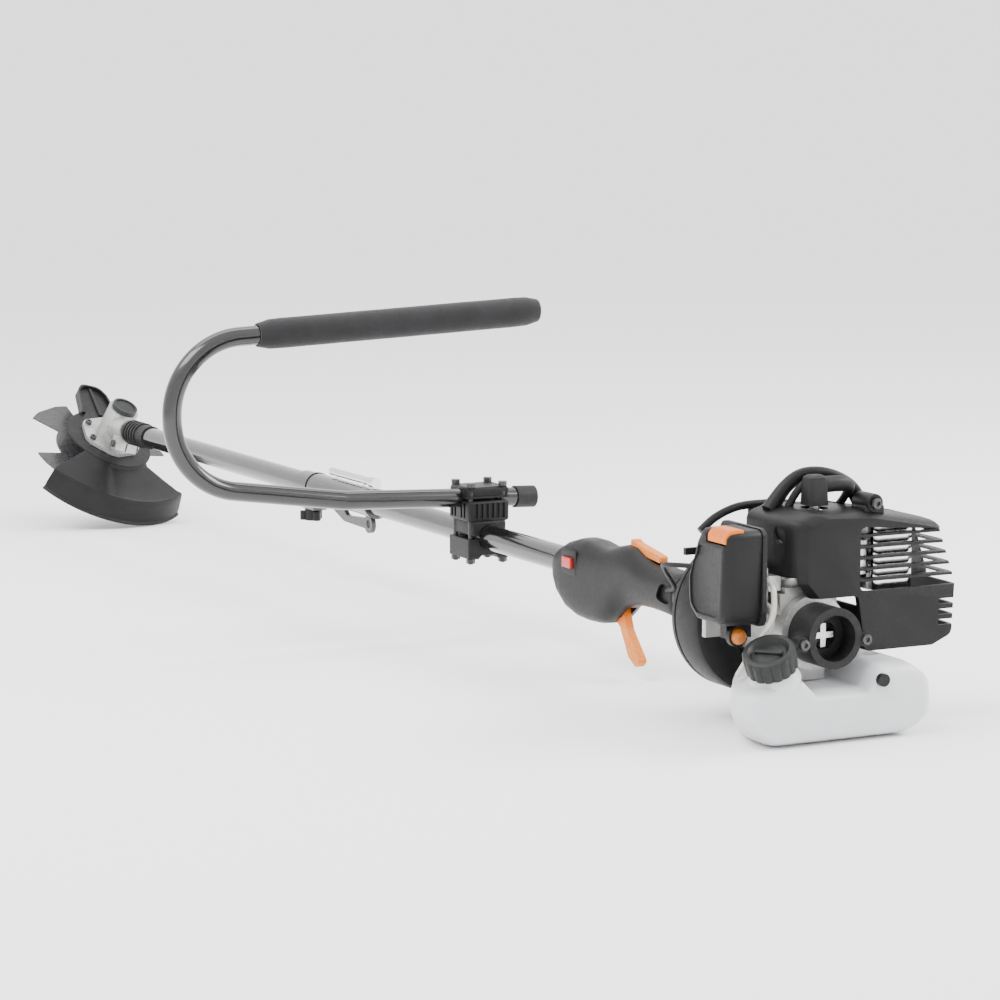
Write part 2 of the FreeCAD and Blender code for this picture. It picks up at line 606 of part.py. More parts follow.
def drive_line():
    node("drive_shaft", [rod("drive_rod", "drive_radius", "drive_end - drive_start",
                             ("drive_start", "0", "0"), "x")])
    bushes = [
        pipe(f"bushing_{index}", "tube_radius - tube_wall - seat_gap", "drive_radius + running_gap",
             "bushing_length", (f"bushing_start + {index} * bushing_pitch", "0", "0"), "x")
        for index in range(4)
    ]
    node("tube_bushings", bushes)


def coupler():
    """The sleeve joins the two tubes; a knob on the split ear locks the lower one."""
    sleeve = rod("sleeve_body", "tube_radius + sleeve_wall", "sleeve_end - sleeve_start",
                 ("sleeve_start", "0", "0"), "x")
    bead = rod("sleeve_bead", "tube_radius + sleeve_wall + 1", "5", ("sleeve_start", "0", "0"), "x")
    rear_bead = rod("sleeve_rear_bead", "tube_radius + sleeve_wall + 1", "5", ("sleeve_end - 5", "0", "0"),
                    "x")
    band = rod("ear_band", "tube_radius + sleeve_wall", "sleeve_start - knob_station + 18",
               ("knob_station - 16", "0", "0"), "x")
    ear = block("sleeve_ear", ("knob_station - 16", "-ear_width / 2", "-knob_drop + 12"),
                ("knob_station + 20", "ear_width / 2", "-6"))
    hole = rod("sleeve_hole", "tube_radius + seat_gap", "300", ("sleeve_start - 60", "0", "0"), "x")
    stud_hole = rod("knob_stud_hole", "3 + running_gap", "40", ("knob_station", "0", "-knob_drop"))
    whole = fuse("sleeve_whole", [sleeve, bead, rear_bead, band, ear])
    node("coupler_sleeve", [cut("sleeve", whole, [hole, stud_hole])])
    stud = rod("knob_stud", "3", "knob_drop - tube_radius - 1", ("knob_station", "0", "-knob_drop"))
    hub = rod("knob_hub", "knob_radius - 4", "knob_height",
              ("knob_station", "0", "-knob_drop + 11.7 - knob_height"))
    lobes = [
        rod(f"knob_lobe_{index}", "4.5", "knob_height - 3",
            (f"knob_station + (knob_radius - 3) * cos({120 * index})",
             f"(knob_radius - 3) * sin({120 * index})", "-knob_drop + 12 - knob_height"))
        for index in range(3)
    ]
    node("coupler_knob", [fuse("knob", [stud, hub] + lobes)])


def harness_points():
    """The carrying rail above the coupler and the hanger strap with its eye below it."""
    rail = rod("rail_bar", "rail_radius", "rail_end - rail_start - rail_cap_length",
               ("rail_start", "0", "rail_height"), "x")
    posts = [
        rod(f"rail_post_{index}", "3", "8", (f"rail_start + {gap}", "0", "rail_height - 6"))
        for index, gap in enumerate((12, 84))
    ]
    tube_room = rod("rail_room", "tube_radius + sleeve_wall + seat_gap", "300",
                    ("sleeve_start - 30", "0", "0"), "x")
    cap = rod("rail_cap", "rail_radius + 1.4", "rail_cap_length",
              ("rail_end - rail_cap_length", "0", "rail_height"), "x")
    node("harness_rail", [cut("rail", fuse("rail_whole", [rail] + posts), [tube_room]), cap])
    strap = padded("hanger_strap", "XZ_Plane", [
        ("hanger_start", "-8", None),
        ("hanger_start + 26", "-8", None),
        ("hanger_start + 34", "-hanger_drop + 2", "12"),
        ("hanger_eye", "-hanger_drop + 6", None),
        ("hanger_eye", "-hanger_drop - 6", None),
        ("hanger_start + 30", "-hanger_drop - 5", "14"),
        ("hanger_start", "-19", "5"),
    ], "5", "-2.5")
    eye = rod("hanger_eye_disc", "eye_radius", "5", ("hanger_eye", "-2.5", "-hanger_drop"), "y")
    bore = rod("hanger_eye_bore", "eye_bore", "10", ("hanger_eye", "-5", "-hanger_drop"), "y")
    room = rod("hanger_room", "tube_radius + sleeve_wall + seat_gap", "300",
               ("sleeve_start - 30", "0", "0"), "x")
    node("harness_hanger", [cut("hanger", fuse("hanger_whole", [strap, eye]), [bore, room])])


# ---------------------------------------------------------------- J-handle

BAR_SLOPE = "(bar_bend_z - bar_low_right) / (bar_right - bar_bend_y)"


def bar_turn():
    """The handle's lower run rises slightly to the left."""
    slope = number(BAR_SLOPE)
    return Rotation(Vector(0, 0, 1), Vector(0, -1, slope))


def bar_level(side):
    return f"bar_low_right + (bar_right - ({side})) * {BAR_SLOPE}"


def clamp_bolt_spots():
    """Bolt centres at the four corners of the handle clamp."""
    for end in ("handle_station - clamp_length / 2 + clamp_bolt_inset",
                "handle_station + clamp_length / 2 - clamp_bolt_inset"):
        for side in ("clamp_left + clamp_bolt_inset - 1", "clamp_right - clamp_bolt_inset + 1"):
            yield end, side


def handle_clamp():
    """Three blocks: a base under the shaft, a saddle between shaft and bar, and a cap over the bar."""
    start = "handle_station - clamp_length / 2"
    end = "handle_station + clamp_length / 2"
    tube_bore = "tube_radius + seat_gap"
    base = block("base_block", (start, "clamp_left", "-clamp_base_depth"),
                 (end, "clamp_right", "-clamp_split / 2"))
    saddle = block("saddle_block", (start, "clamp_left", "clamp_split / 2"),
                   (end, "clamp_right", "bar_over_shaft - clamp_split / 2"))
    cap = block("cap_block", (f"{start} + 2", "clamp_left", "bar_over_shaft + clamp_split / 2"),
                (f"{end} - 2", "clamp_right", "bar_over_shaft + clamp_cap_rise"))
    pieces = []
    for name, body in (("clamp_base", base), ("clamp_saddle", saddle), ("clamp_cap", cap)):
        edges = rounded(f"{name}_round", body, "3",
                        runs_along("z"))
        tools = [
            rod(f"{name}_tube_bore", tube_bore, "200", ("handle_station - 100", "0", "0"), "x"),
            rod(f"{name}_bar_bore", "bar_radius + running_gap", "200",
                ("handle_station", "100", bar_level("100")), turn=bar_turn()),
        ]
        for index, (x, y) in enumerate(clamp_bolt_spots()):
            tools.append(rod(f"{name}_bolt_bore_{index}", "clamp_bolt_radius + running_gap", "100",
                             (x, y, "-40")))
        pieces.append((name, cut(f"{name}_piece", edges, tools)))
    for name, piece in pieces:
        node(name, [piece])
    bolts = []
    for index, (x, y) in enumerate(clamp_bolt_spots()):
        stem = rod(f"clamp_bolt_stem_{index}", "clamp_bolt_radius",
                   "bar_over_shaft + clamp_cap_rise + clamp_base_depth + 5", (x, y, "-clamp_base_depth - 5"))
        head = rod(f"clamp_bolt_head_{index}", "4.4", "4.5", (x, y, "bar_over_shaft + clamp_cap_rise"))
        nut = prism(f"clamp_bolt_nut_{index}", 6, "4.6", "4", (x, y, "-clamp_base_depth - 4"))
        bolts.append(fuse(f"clamp_bolt_{index}", [stem, head, nut]))
    node("clamp_bolts", bolts)


def j_handle():
    """A thin tube bent into a J, in a plane across the shaft, with foam on its upper run."""
    body = doc.addObject("PartDesign::Body", "bar_body")
    spine = new_sketch(body, "bar_spine", "YZ_Plane", "handle_station")
    outline(spine, [
        ("bar_right", "bar_low_right", None),
        ("bar_bend_y", "bar_bend_z", "bend_radius"),
        ("loop_left", "loop_low_z", "loop_radius"),
        ("loop_left", "loop_high_z", "loop_radius"),
        ("bar_top_right", "bar_top_z", None),
    ], closed=False)
    ring = new_sketch(body, "bar_ring", "XZ_Plane", "-bar_right")
    for index, radius in enumerate(("bar_radius", "bar_radius - bar_wall")):
        ring.addGeometry(Part.Circle(point(("handle_station", "bar_low_right", "0")), Vector(0, 0, 1),
                                     number(radius)))
        size = ring.addConstraint(Sketcher.Constraint("Radius", index, number(radius)))
        ring.setExpression(f"Constraints[{size}]", formula(radius))
        for kind, text in (("DistanceX", "handle_station"), ("DistanceY", "bar_low_right")):
            size = ring.addConstraint(Sketcher.Constraint(kind, -1, 1, index, 3, number(text)))
            ring.setExpression(f"Constraints[{size}]", formula(text))
    sweep = body.newObject("PartDesign::AdditivePipe", "bar_sweep")
    sweep.Profile = ring
    sweep.Spine = spine
    node("handle_tube", [body])
    slope = "(bar_top_z - loop_high_z) / (bar_top_right - loop_left)"
    turn = Rotation(Vector(0, 0, 1), Vector(0, 1, number(slope)))
    foam_left = "(loop_left + grip_foam_gap)"
    start = ("handle_station", foam_left, f"bar_top_z - (bar_top_right - {foam_left}) * {slope}")
    foam = rod("foam_rod", "grip_foam_radius", f"grip_foam_end - {foam_left}", start,
               turn=turn)
    bore = rod("foam_bore", "bar_radius + loose_gap", f"bar_top_right - {foam_left} + 0.6",
               start, turn=turn)
    node("foam_grip", [cut("foam", foam, [bore])])
    side = "bar_right - cap_length + cap_wall + 1"
    at = ("handle_station", side, bar_level(side))
    turn = bar_turn().multiply(Rotation(Vector(1, 0, 0), 180))
    cap = rod("end_cap_rod", "bar_radius + cap_wall", "cap_length", at, turn=turn)
    bore = rod("end_cap_bore", "bar_radius + seat_gap", "cap_length - cap_wall - 0.4", at, turn=turn)
    node("handle_end_cap", [cut("end_cap", cap, [bore])])


# ---------------------------------------------------------------- throttle handle

SHELL_OUTLINE = [
    ("shell_front", "-15", "6"), ("shell_front + 13", "13", "12"), ("shell_front + 60", "24", "14"),
    ("shell_front + 92", "21", "14"), ("shell_front + 122", "33", "10"), ("shell_front + 146", "34", "10"),
    ("shell_front + 172", "25", "16"), ("shell_rear", "20", "4"), ("shell_rear", "-22", "6"),
    ("shell_front + 160", "-19", "20"), ("shell_front + 124", "-23", "12"),
    ("shell_front + 100", "-44", "10"), ("shell_front + 70", "-48", "14"), ("shell_front + 8", "-38", "12"),
]


def throttle_shells():
    """The two halves of the throttle handle clamp round the upper tube."""
    for name, low, face in (("grip_shell_left", "-shell_half_width", -1), ("grip_shell_right", "0.1", 1)):
        side = padded(f"{name}_side", "XZ_Plane", SHELL_OUTLINE, "shell_half_width - 0.1",
                      "0" if face < 0 else "-shell_half_width")
        doc.recompute()
        if face < 0:
            side.Placement = Placement(Vector(0, -0.1, 0), Rotation())
        outer = number("shell_half_width") * face
        shell = rounded(f"{name}_round", side, "shell_round",
                        lambda middle, edge: abs(middle.y - outer) < 0.2)
        pocket_low = "-shell_half_width + 3.5" if face < 0 else "-1"
        pocket_high = "1" if face < 0 else "shell_half_width - 3.5"
        tools = [
            rod(f"{name}_bore", "tube_radius + seat_gap", "300", ("shell_front - 20", "0", "0"), "x"),
            block(f"{name}_trigger_room", ("trigger_pivot_x - 15", "-trigger_half - 0.6", "-60"),
                  ("trigger_pivot_x + 24", "trigger_half + 0.6", "-14")),
            block(f"{name}_lockout_room", ("lockout_pivot_x - 11", "-trigger_half - 0.6", "15"),
                  ("lockout_pivot_x + 56", "trigger_half + 0.6", "50")),
            rod(f"{name}_trigger_pin", "2.5 + running_gap", "24",
                ("trigger_pivot_x", "-12", "trigger_pivot_z"), "y"),
            rod(f"{name}_lockout_pin", "1.8 + running_gap", "20",
                ("lockout_pivot_x", "-10", "lockout_pivot_z - 4"), "y"),
            block(f"{name}_wire_room", ("shell_front + 18", pocket_low, "-34"),
                  ("shell_front + 80", pocket_high, "-16")),
        ]
        if face < 0:
            tools.append(block("switch_room", ("switch_x - switch_length / 2 - 0.5", "-shell_half_width - 5",
                                               "switch_z - switch_height / 2 - 0.5"),
                               ("switch_x + switch_length / 2 + 0.5", "-shell_half_width + 6.3",
                                "switch_z + switch_height / 2 + 0.5")))
            tools.append(rod("cable_mouth", "6.5", "30", ("shell_rear - 20", "-16", "5"), "x"))
            tools.append(block("cable_window", ("shell_rear - 26", "-shell_half_width - 5", "-4"),
                               ("shell_rear - 4", "-13.5", "12")))
        node(name, [cut(f"{name}_piece", shell, tools)])


def throttle_controls():
    """The trigger under the grip, the lockout on top of it and the stop switch on its left."""
    lever = padded("trigger_blade", "XZ_Plane", [
        ("trigger_pivot_x - 9", "trigger_pivot_z + 10", "5"),
        ("trigger_pivot_x + 8", "trigger_pivot_z + 10", "5"),
        ("trigger_pivot_x + 17", "trigger_pivot_z - 13", "12"),
        ("trigger_pivot_x + 42", "trigger_pivot_z - 39", "3"),
        ("trigger_pivot_x + 35", "trigger_pivot_z - 46", "4"),
        ("trigger_pivot_x + 20", "trigger_pivot_z - 38", "8"),
        ("trigger_pivot_x + 4", "trigger_pivot_z - 12", "10"),
        ("trigger_pivot_x - 9", "trigger_pivot_z - 4", "5"),
    ], "2 * trigger_half", "-trigger_half")
    pin = rod("trigger_pin", "2.5", "23.6", ("trigger_pivot_x", "-11.8", "trigger_pivot_z"), "y")
    node("throttle_trigger", [fuse("trigger", [lever, pin])])
    lever = padded("lockout_blade", "XZ_Plane", [
        ("lockout_pivot_x - 7", "lockout_pivot_z - 7", "3"),
        ("lockout_pivot_x + 8", "lockout_pivot_z - 7", "3"),
        ("lockout_pivot_x + 11", "lockout_pivot_z + 3", "3"),
        ("lockout_pivot_x + 51", "lockout_pivot_z - 1", "2"),
        ("lockout_pivot_x + 51", "lockout_pivot_z + 5", "2"),
        ("lockout_pivot_x + 6", "lockout_pivot_z + 12", "4"),
        ("lockout_pivot_x - 3", "lockout_pivot_z + 16", "3"),
    ], "2 * trigger_half", "-trigger_half")
    pin = rod("lockout_pin", "1.8", "19.6", ("lockout_pivot_x", "-9.8", "lockout_pivot_z - 4"), "y")
    node("throttle_lockout", [fuse("lockout", [lever, pin])])
    low = ("switch_x - switch_length / 2", "-shell_half_width - switch_proud", "switch_z - switch_height / 2")
    high = ("switch_x + switch_length / 2", "-shell_half_width + 3", "switch_z + switch_height / 2")
    rocker = block("switch_block", low, high)
    pin = rod("switch_pin", "1.5", "switch_height + 0.9",
              ("switch_x", "-shell_half_width + 3", "switch_z - switch_height / 2 - 0.45"))
    rocker = rounded("switch_round", rocker, "1.2",
                     lambda middle, edge: middle.y < -number("shell_half_width") - 2.5)
    node("stop_switch", [fuse("switch", [rocker, pin])])


# ---------------------------------------------------------------- power head

def clutch_housing():
    cone = turned("clutch_cone", [
        ("neck_start", "tube_radius + seat_gap", None),
        ("upper_tube_end + 0.3", "tube_radius + seat_gap", None),
        ("upper_tube_end + 0.3", "14 + seat_gap", None),
        ("upper_tube_end + 12", "14 + seat_gap", None),
        ("upper_tube_end + 12", "drum_radius + 2", "6"),
        ("drum_end", "cone_radius - 12", "10"),
        ("cone_end", "cone_radius - 4", None),
        ("cone_end", "cone_radius + 5", None),
        ("cone_end - 4", "cone_radius + 5", None),
        ("cone_end - 5", "cone_radius - 3", "3"),
        ("cone_start", "neck_radius + 3", "14"),
        ("neck_start", "neck_radius", None),
    ])
    node("clutch_housing", [cone])


def clutch():
    hub = rod("drum_hub", "drum_shaft_radius", "drum_start - drive_end + 2", ("drive_end", "0", "0"), "x")
    wall = rod("drum_body", "drum_radius", "drum_end - drum_start", ("drum_start", "0", "0"), "x")
    room = rod("drum_room", "drum_radius - drum_wall", "drum_end - drum_start",
               ("drum_start + drum_wall", "0", "0"), "x")
    node("clutch_drum", [cut("drum", fuse("drum_whole", [hub, wall]), [room])])
    disc = rod("shoe_disc", "shoe_radius", "15", ("drum_start + drum_wall + 3", "0", "0"), "x")
    gaps = [
        block("shoe_gap_right", ("drum_start", "10", "-2"), ("drum_end", "40", "2")),
        block("shoe_gap_left", ("drum_start", "-40", "-2"), ("drum_end", "-10", "2")),
    ]
    bore = rod("shoe_bore", "crank_radius + seat_gap", "40", ("drum_start", "0", "0"), "x")
    node("clutch_shoes", [cut("shoes", disc, gaps + [bore])])


def fan_housing():
    """A ring round the flywheel, with intake windows in its front wall and a tall rim over it."""
    ring = pipe("fan_ring", "fan_radius", "fan_radius - fan_wall", "fan_end - cone_end",
                ("cone_end", "0", "0"), "x")
    wall = pipe("fan_front", "fan_radius - 1", "14", "fan_wall", ("cone_end", "0", "0"), "x")
    rim = pipe("fan_rim", "arch_radius", "arch_radius - arch_bar", "14", ("fan_end - 14", "0", "0"), "x")
    upper = block("fan_rim_upper", ("cone_end", "-62", "56"), ("fan_end", "62", "arch_radius + 2"))
    rim = common("fan_rim_arch", rim, upper)
    ribs = []
    for index, lean in enumerate((-34, 6, 34)):
        rib = block(f"fan_rib_{index}", ("fan_end - 14", "-2.5", "fan_radius - 3"),
                    ("fan_end", "2.5", "arch_radius - 3"))
        doc.recompute()
        holder = doc.addObject("Part::Compound", f"fan_rib_turned_{index}")
        holder.Links = [rib]
        holder.Placement = Placement(Vector(), Rotation(Vector(1, 0, 0), lean))
        ribs.append(holder)
    windows = []
    for index in range(8):
        window = block(f"fan_window_{index}", ("cone_end - 1", "-9", "fan_radius - 24"),
                       ("cone_end + 5", "9", "fan_radius - 10"))
        holder = doc.addObject("Part::Compound", f"fan_window_turned_{index}")
        holder.Links = [window]
        holder.Placement = Placement(Vector(), Rotation(Vector(1, 0, 0), 45 * index))
        windows.append(holder)
    mount_low = block("fan_mount", ("fan_end - 5", "-fan_radius + 2", "-12"),
                      ("fan_end", "fan_radius - 2", "12"))
    crank_room = rod("fan_crank_room", "fan_radius - 10", "60", ("cone_end + fan_wall", "0", "0"), "x")
    whole = fuse("fan_whole", [ring, wall, rim, mount_low] + ribs)
    node("fan_housing", [cut("fan", whole, windows + [crank_room])])


def flywheel():
    disc = rod("flywheel_disc", "flywheel_radius - 8", "flywheel_end - flywheel_start",
               ("flywheel_start", "0", "0"), "x")
    fins = []
    for index in range(16):
        fin = block(f"flywheel_fin_{index}", ("flywheel_start", "-1.2", "flywheel_radius - 14"),
                    ("flywheel_start + 11", "1.2", "flywheel_radius"))
        holder = doc.addObject("Part::Compound", f"flywheel_fin_turned_{index}")
        holder.Links = [fin]
        holder.Placement = Placement(Vector(), Rotation(Vector(1, 0, 0), 22.5 * index))
        fins.append(holder)
    bore = rod("flywheel_bore", "crank_radius + seat_gap", "60", ("flywheel_start - 10", "0", "0"), "x")
    node("flywheel", [cut("wheel", fuse("flywheel_whole", [disc] + fins), [bore])])


def crankshaft():
    """Two journals, two webs and a pin; the rear end carries the cross that a starter bit drives."""
    shoe = "drum_start + drum_wall + 3"
    front = rod("crank_front", "crank_radius", f"crank_x - web_gap / 2 - ({shoe})", (shoe, "0", "0"), "x")
    rear = rod("crank_rear", "crank_radius", "crankcase_end + 5 - crank_x - web_gap / 2",
               ("crank_x + web_gap / 2", "0", "0"), "x")
    webs = [
        rod("crank_web_front", "web_radius", "web_thick", ("crank_x - web_gap / 2 - web_thick", "0", "0"),
            "x"),
        rod("crank_web_rear", "web_radius", "web_thick", ("crank_x + web_gap / 2", "0", "0"), "x"),
    ]
    pin = rod("crank_pin", "5", "web_gap + 2", ("crank_x - web_gap / 2 - 1", "0", "throw"), "x")
    bars = [
        block("start_bar_flat", ("crankcase_end + 1", "-10", "-2.5"),
              ("port_end - port_depth - 0.5", "10", "2.5")),
        block("start_bar_tall", ("crankcase_end + 1", "-2.5", "-10"),
              ("port_end - port_depth - 0.5", "2.5", "10")),
    ]
    node("crankshaft", [fuse("crank", [front, rear, pin] + webs + bars)])


def crankcase():
    """Die-cast case with the crank chamber, the cylinder deck on top and a foot on the tank."""
    drum = rod("case_drum", "crankcase_radius", "crankcase_end - crankcase_start",
               ("crankcase_start", "0", "0"), "x")
    deck = block("case_deck", ("crank_x - 27", "-28", "0"), ("crank_x + 27", "28", "crankcase_deck"))
    plate = block("case_front_plate", ("crankcase_start", "-fan_radius + 4", "-11"),
                  ("crankcase_start + 6", "fan_radius - 4", "11"))
    foot = block("case_foot_block", ("crank_x - 28", "-foot_half_width", "-42 + loose_gap"),
                 ("crank_x + 30", "foot_half_width", "-20"))
    whole = fuse("crankcase_whole", [drum, deck, plate, foot])
    tools = [
        rod("crank_room", "crank_chamber", "web_gap + 2 * web_thick + 6",
            ("crank_x - web_gap / 2 - web_thick - 3", "0", "0"), "x"),
        rod("crank_hole", "crank_radius + 1", "200", ("crankcase_start - 20", "0", "0"), "x"),
        rod("front_seat", "bearing_radius + seat_gap", "9", ("crank_x - 28", "0", "0"), "x"),
        rod("rear_seat", "bearing_radius + seat_gap", "9", ("crank_x + 19", "0", "0"), "x"),
        rod("deck_bore", "bore_radius + 1", "40", ("crank_x", "0", "10")),
    ]
    node("crankcase", [cut("crankcase_cast", whole, tools)])


def bearings():
    """Ball bearings, shown as plain rings: two on the crank, one at the clutch drum."""
    items = [
        pipe("crank_bearing_front", "bearing_radius", "crank_radius + running_gap", "8.9",
             ("crank_x - 27.95", "0", "0"), "x"),
        pipe("crank_bearing_rear", "bearing_radius", "crank_radius + running_gap", "8.9",
             ("crank_x + 19.05", "0", "0"), "x"),
        pipe("drum_bearing", "14", "drum_shaft_radius + running_gap", "11",
             ("upper_tube_end + 0.6", "0", "0"), "x"),
    ]
    node("engine_bearings", items)
    items = [
        pipe("top_bearing", "bearing_radius", "spindle_radius + running_gap", "bearing_width",
             ("0", "0", "top_bearing_base")),
        pipe("low_bearing", "bearing_radius", "spindle_radius + running_gap", "bearing_width",
             ("0", "0", "low_bearing_base")),
        pipe("input_bearing", "input_bearing_radius", "drive_radius + 0.5 + running_gap", "bearing_width",
             along_arm("input_bearing_start"), turn=arm_turn()),
    ]
    node("head_bearings", items, HEAD_PLACE)


def cylinder():
    barrel = rod("barrel_wall", "barrel_radius", "head_level - crankcase_deck",
                 ("crank_x", "0", "crankcase_deck"))
    base = block("barrel_base", ("crank_x - 26", "-22.5", "crankcase_deck"),
                 ("crank_x + 26", "26", "crankcase_deck + 5"))
    fins = [
        rounded(f"fin_{index}",
                block(f"fin_plate_{index}",
                      ("crank_x - fin_half_x", "-fin_left", f"crankcase_deck + 12 + {index} * fin_pitch"),
                      ("crank_x + fin_half_x", "fin_right",
                       f"crankcase_deck + 12 + {index} * fin_pitch + fin_thick")),
                "9", runs_along("z"))
        for index in range(int(number("fin_count")))
    ]
    bore = rod("barrel_bore", "bore_radius", "head_level - crankcase_deck - 4",
               ("crank_x", "0", "crankcase_deck - 1"))
    boss = rod("plug_boss", "7.5", "8", ("plug_x", "plug_y", "head_level - 6"))
    thread = rod("plug_thread_hole", "4.5 + seat_gap", "20", ("plug_x", "plug_y", "head_level - 4"))
    whole = fuse("cylinder_whole", [barrel, base, boss] + fins)
    node("cylinder", [cut("cylinder_cast", whole, [bore, thread])])
    crown = rod("piston_crown", "bore_radius - running_gap", "piston_height",
                ("crank_x", "0", "piston_pin_level - 4"))
    hollow = rod("piston_hollow", "bore_radius - 3.5", "piston_height - 4",
                 ("crank_x", "0", "piston_pin_level - 5"))
    shell = cut("piston_shell", crown, [hollow])
    pin = rod("gudgeon_pin", "3.5", "2 * bore_radius - 4",
              ("crank_x", "-bore_radius + 2", "piston_pin_level + 2"), "y")
    stem = block("rod_stem", ("crank_x - 2.5", "-4", "web_radius + 2 * throw + 2"),
                 ("crank_x + 2.5", "4", "piston_pin_level + 2"))
    node("piston", [fuse("piston_whole", [shell, pin, stem])])


def ignition():
    thread = rod("plug_thread", "4.5", "6.5", ("plug_x", "plug_y", "head_level - 3.8"))
    hexagon = prism("plug_hex", 6, "7.5", "6", ("plug_x", "plug_y", "head_level + 2"))
    insulator = rod("plug_insulator", "4.5", "plug_top - head_level - 6",
                    ("plug_x", "plug_y", "head_level + 6"))
    node("spark_plug", [fuse("plug_whole", [thread, hexagon, insulator])])
    boot = taper("boot_skirt", "9.5", "8", "18", ("plug_x", "plug_y", "plug_top - 4"))
    boot_room = rod("boot_room", "4.5 + seat_gap", "5", ("plug_x", "plug_y", "plug_top - 5"))
    dome = ball("boot_dome", "8", ("plug_x", "plug_y", "plug_top + 14"))
    arm = rod("boot_arm", "6.5", "24", ("plug_x", "plug_y", "plug_top + 13"), "y")
    boot = cut("boot", fuse("boot_whole", [boot, dome, arm]), [boot_room])
    lead = cord("lead_cord", [
        ("plug_x", "plug_y + 24", "plug_top + 13"),
        ("plug_x - 6", "plug_y + 38", "plug_top + 9"),
        ("plug_x - 24", "plug_y + 41", "plug_top - 8"),
        ("plug_x - 42", "plug_y + 30", "plug_top - 28"),
        ("plug_x - 48", "plug_y + 6", "flywheel_radius + 14"),
        ("flywheel_start + 18.5", "6", "flywheel_radius + 13"),
    ], "3.5")
    node("ignition_lead", [boot, lead])
    core = block("coil_block", ("flywheel_start", "-16", "flywheel_radius + 8"),
                 ("flywheel_start + 16", "16", "fan_radius - fan_wall - 2.2"))
    legs = [
        block(f"coil_leg_{index}", ("flywheel_start + 2", left, "flywheel_radius + 1.5"),
              ("flywheel_start + 12", right, "flywheel_radius + 9"))
        for index, (left, right) in enumerate((("-15", "-9"), ("9", "15")))
    ]
    node("ignition_coil", [fuse("coil", [core] + legs)])


def carburettor():
    """Body, bowl and throat; its flange bolts to the cylinder through a spacer."""
    y_left = "filter_inner + 0.2"
    body = block("carb_body", ("crank_x - carb_half", y_left, "carb_low"),
                 ("crank_x + carb_half", "carb_right - 2", "carb_high"))
    spacer = block("carb_spacer", ("crank_x - 20", "carb_right - 4", "carb_low + 15"),
                   ("crank_x + 20", "-fin_left - 0.3", "carb_high - 6"))
    pump = rod("carb_pump", "11", "7", ("crank_x", "filter_inner + 11.6", "carb_low - 6"))
    spout = rod("carb_spout", "3.2", "10", ("crank_x + carb_half - 2", "filter_inner + 8", "carb_high - 6"),
                "x")
    second = rod("carb_return", "3.2", "10", ("crank_x + carb_half - 2", "filter_inner + 9",
                                              "carb_low + 6"), "x")
    throat = rod("carb_throat", "8", "30", ("crank_x", "filter_inner - 1", "38"), "y")
    whole = fuse("carb_whole", [body, spacer, pump, spout, second])
    node("carburettor", [cut("carb", whole, [throat])])


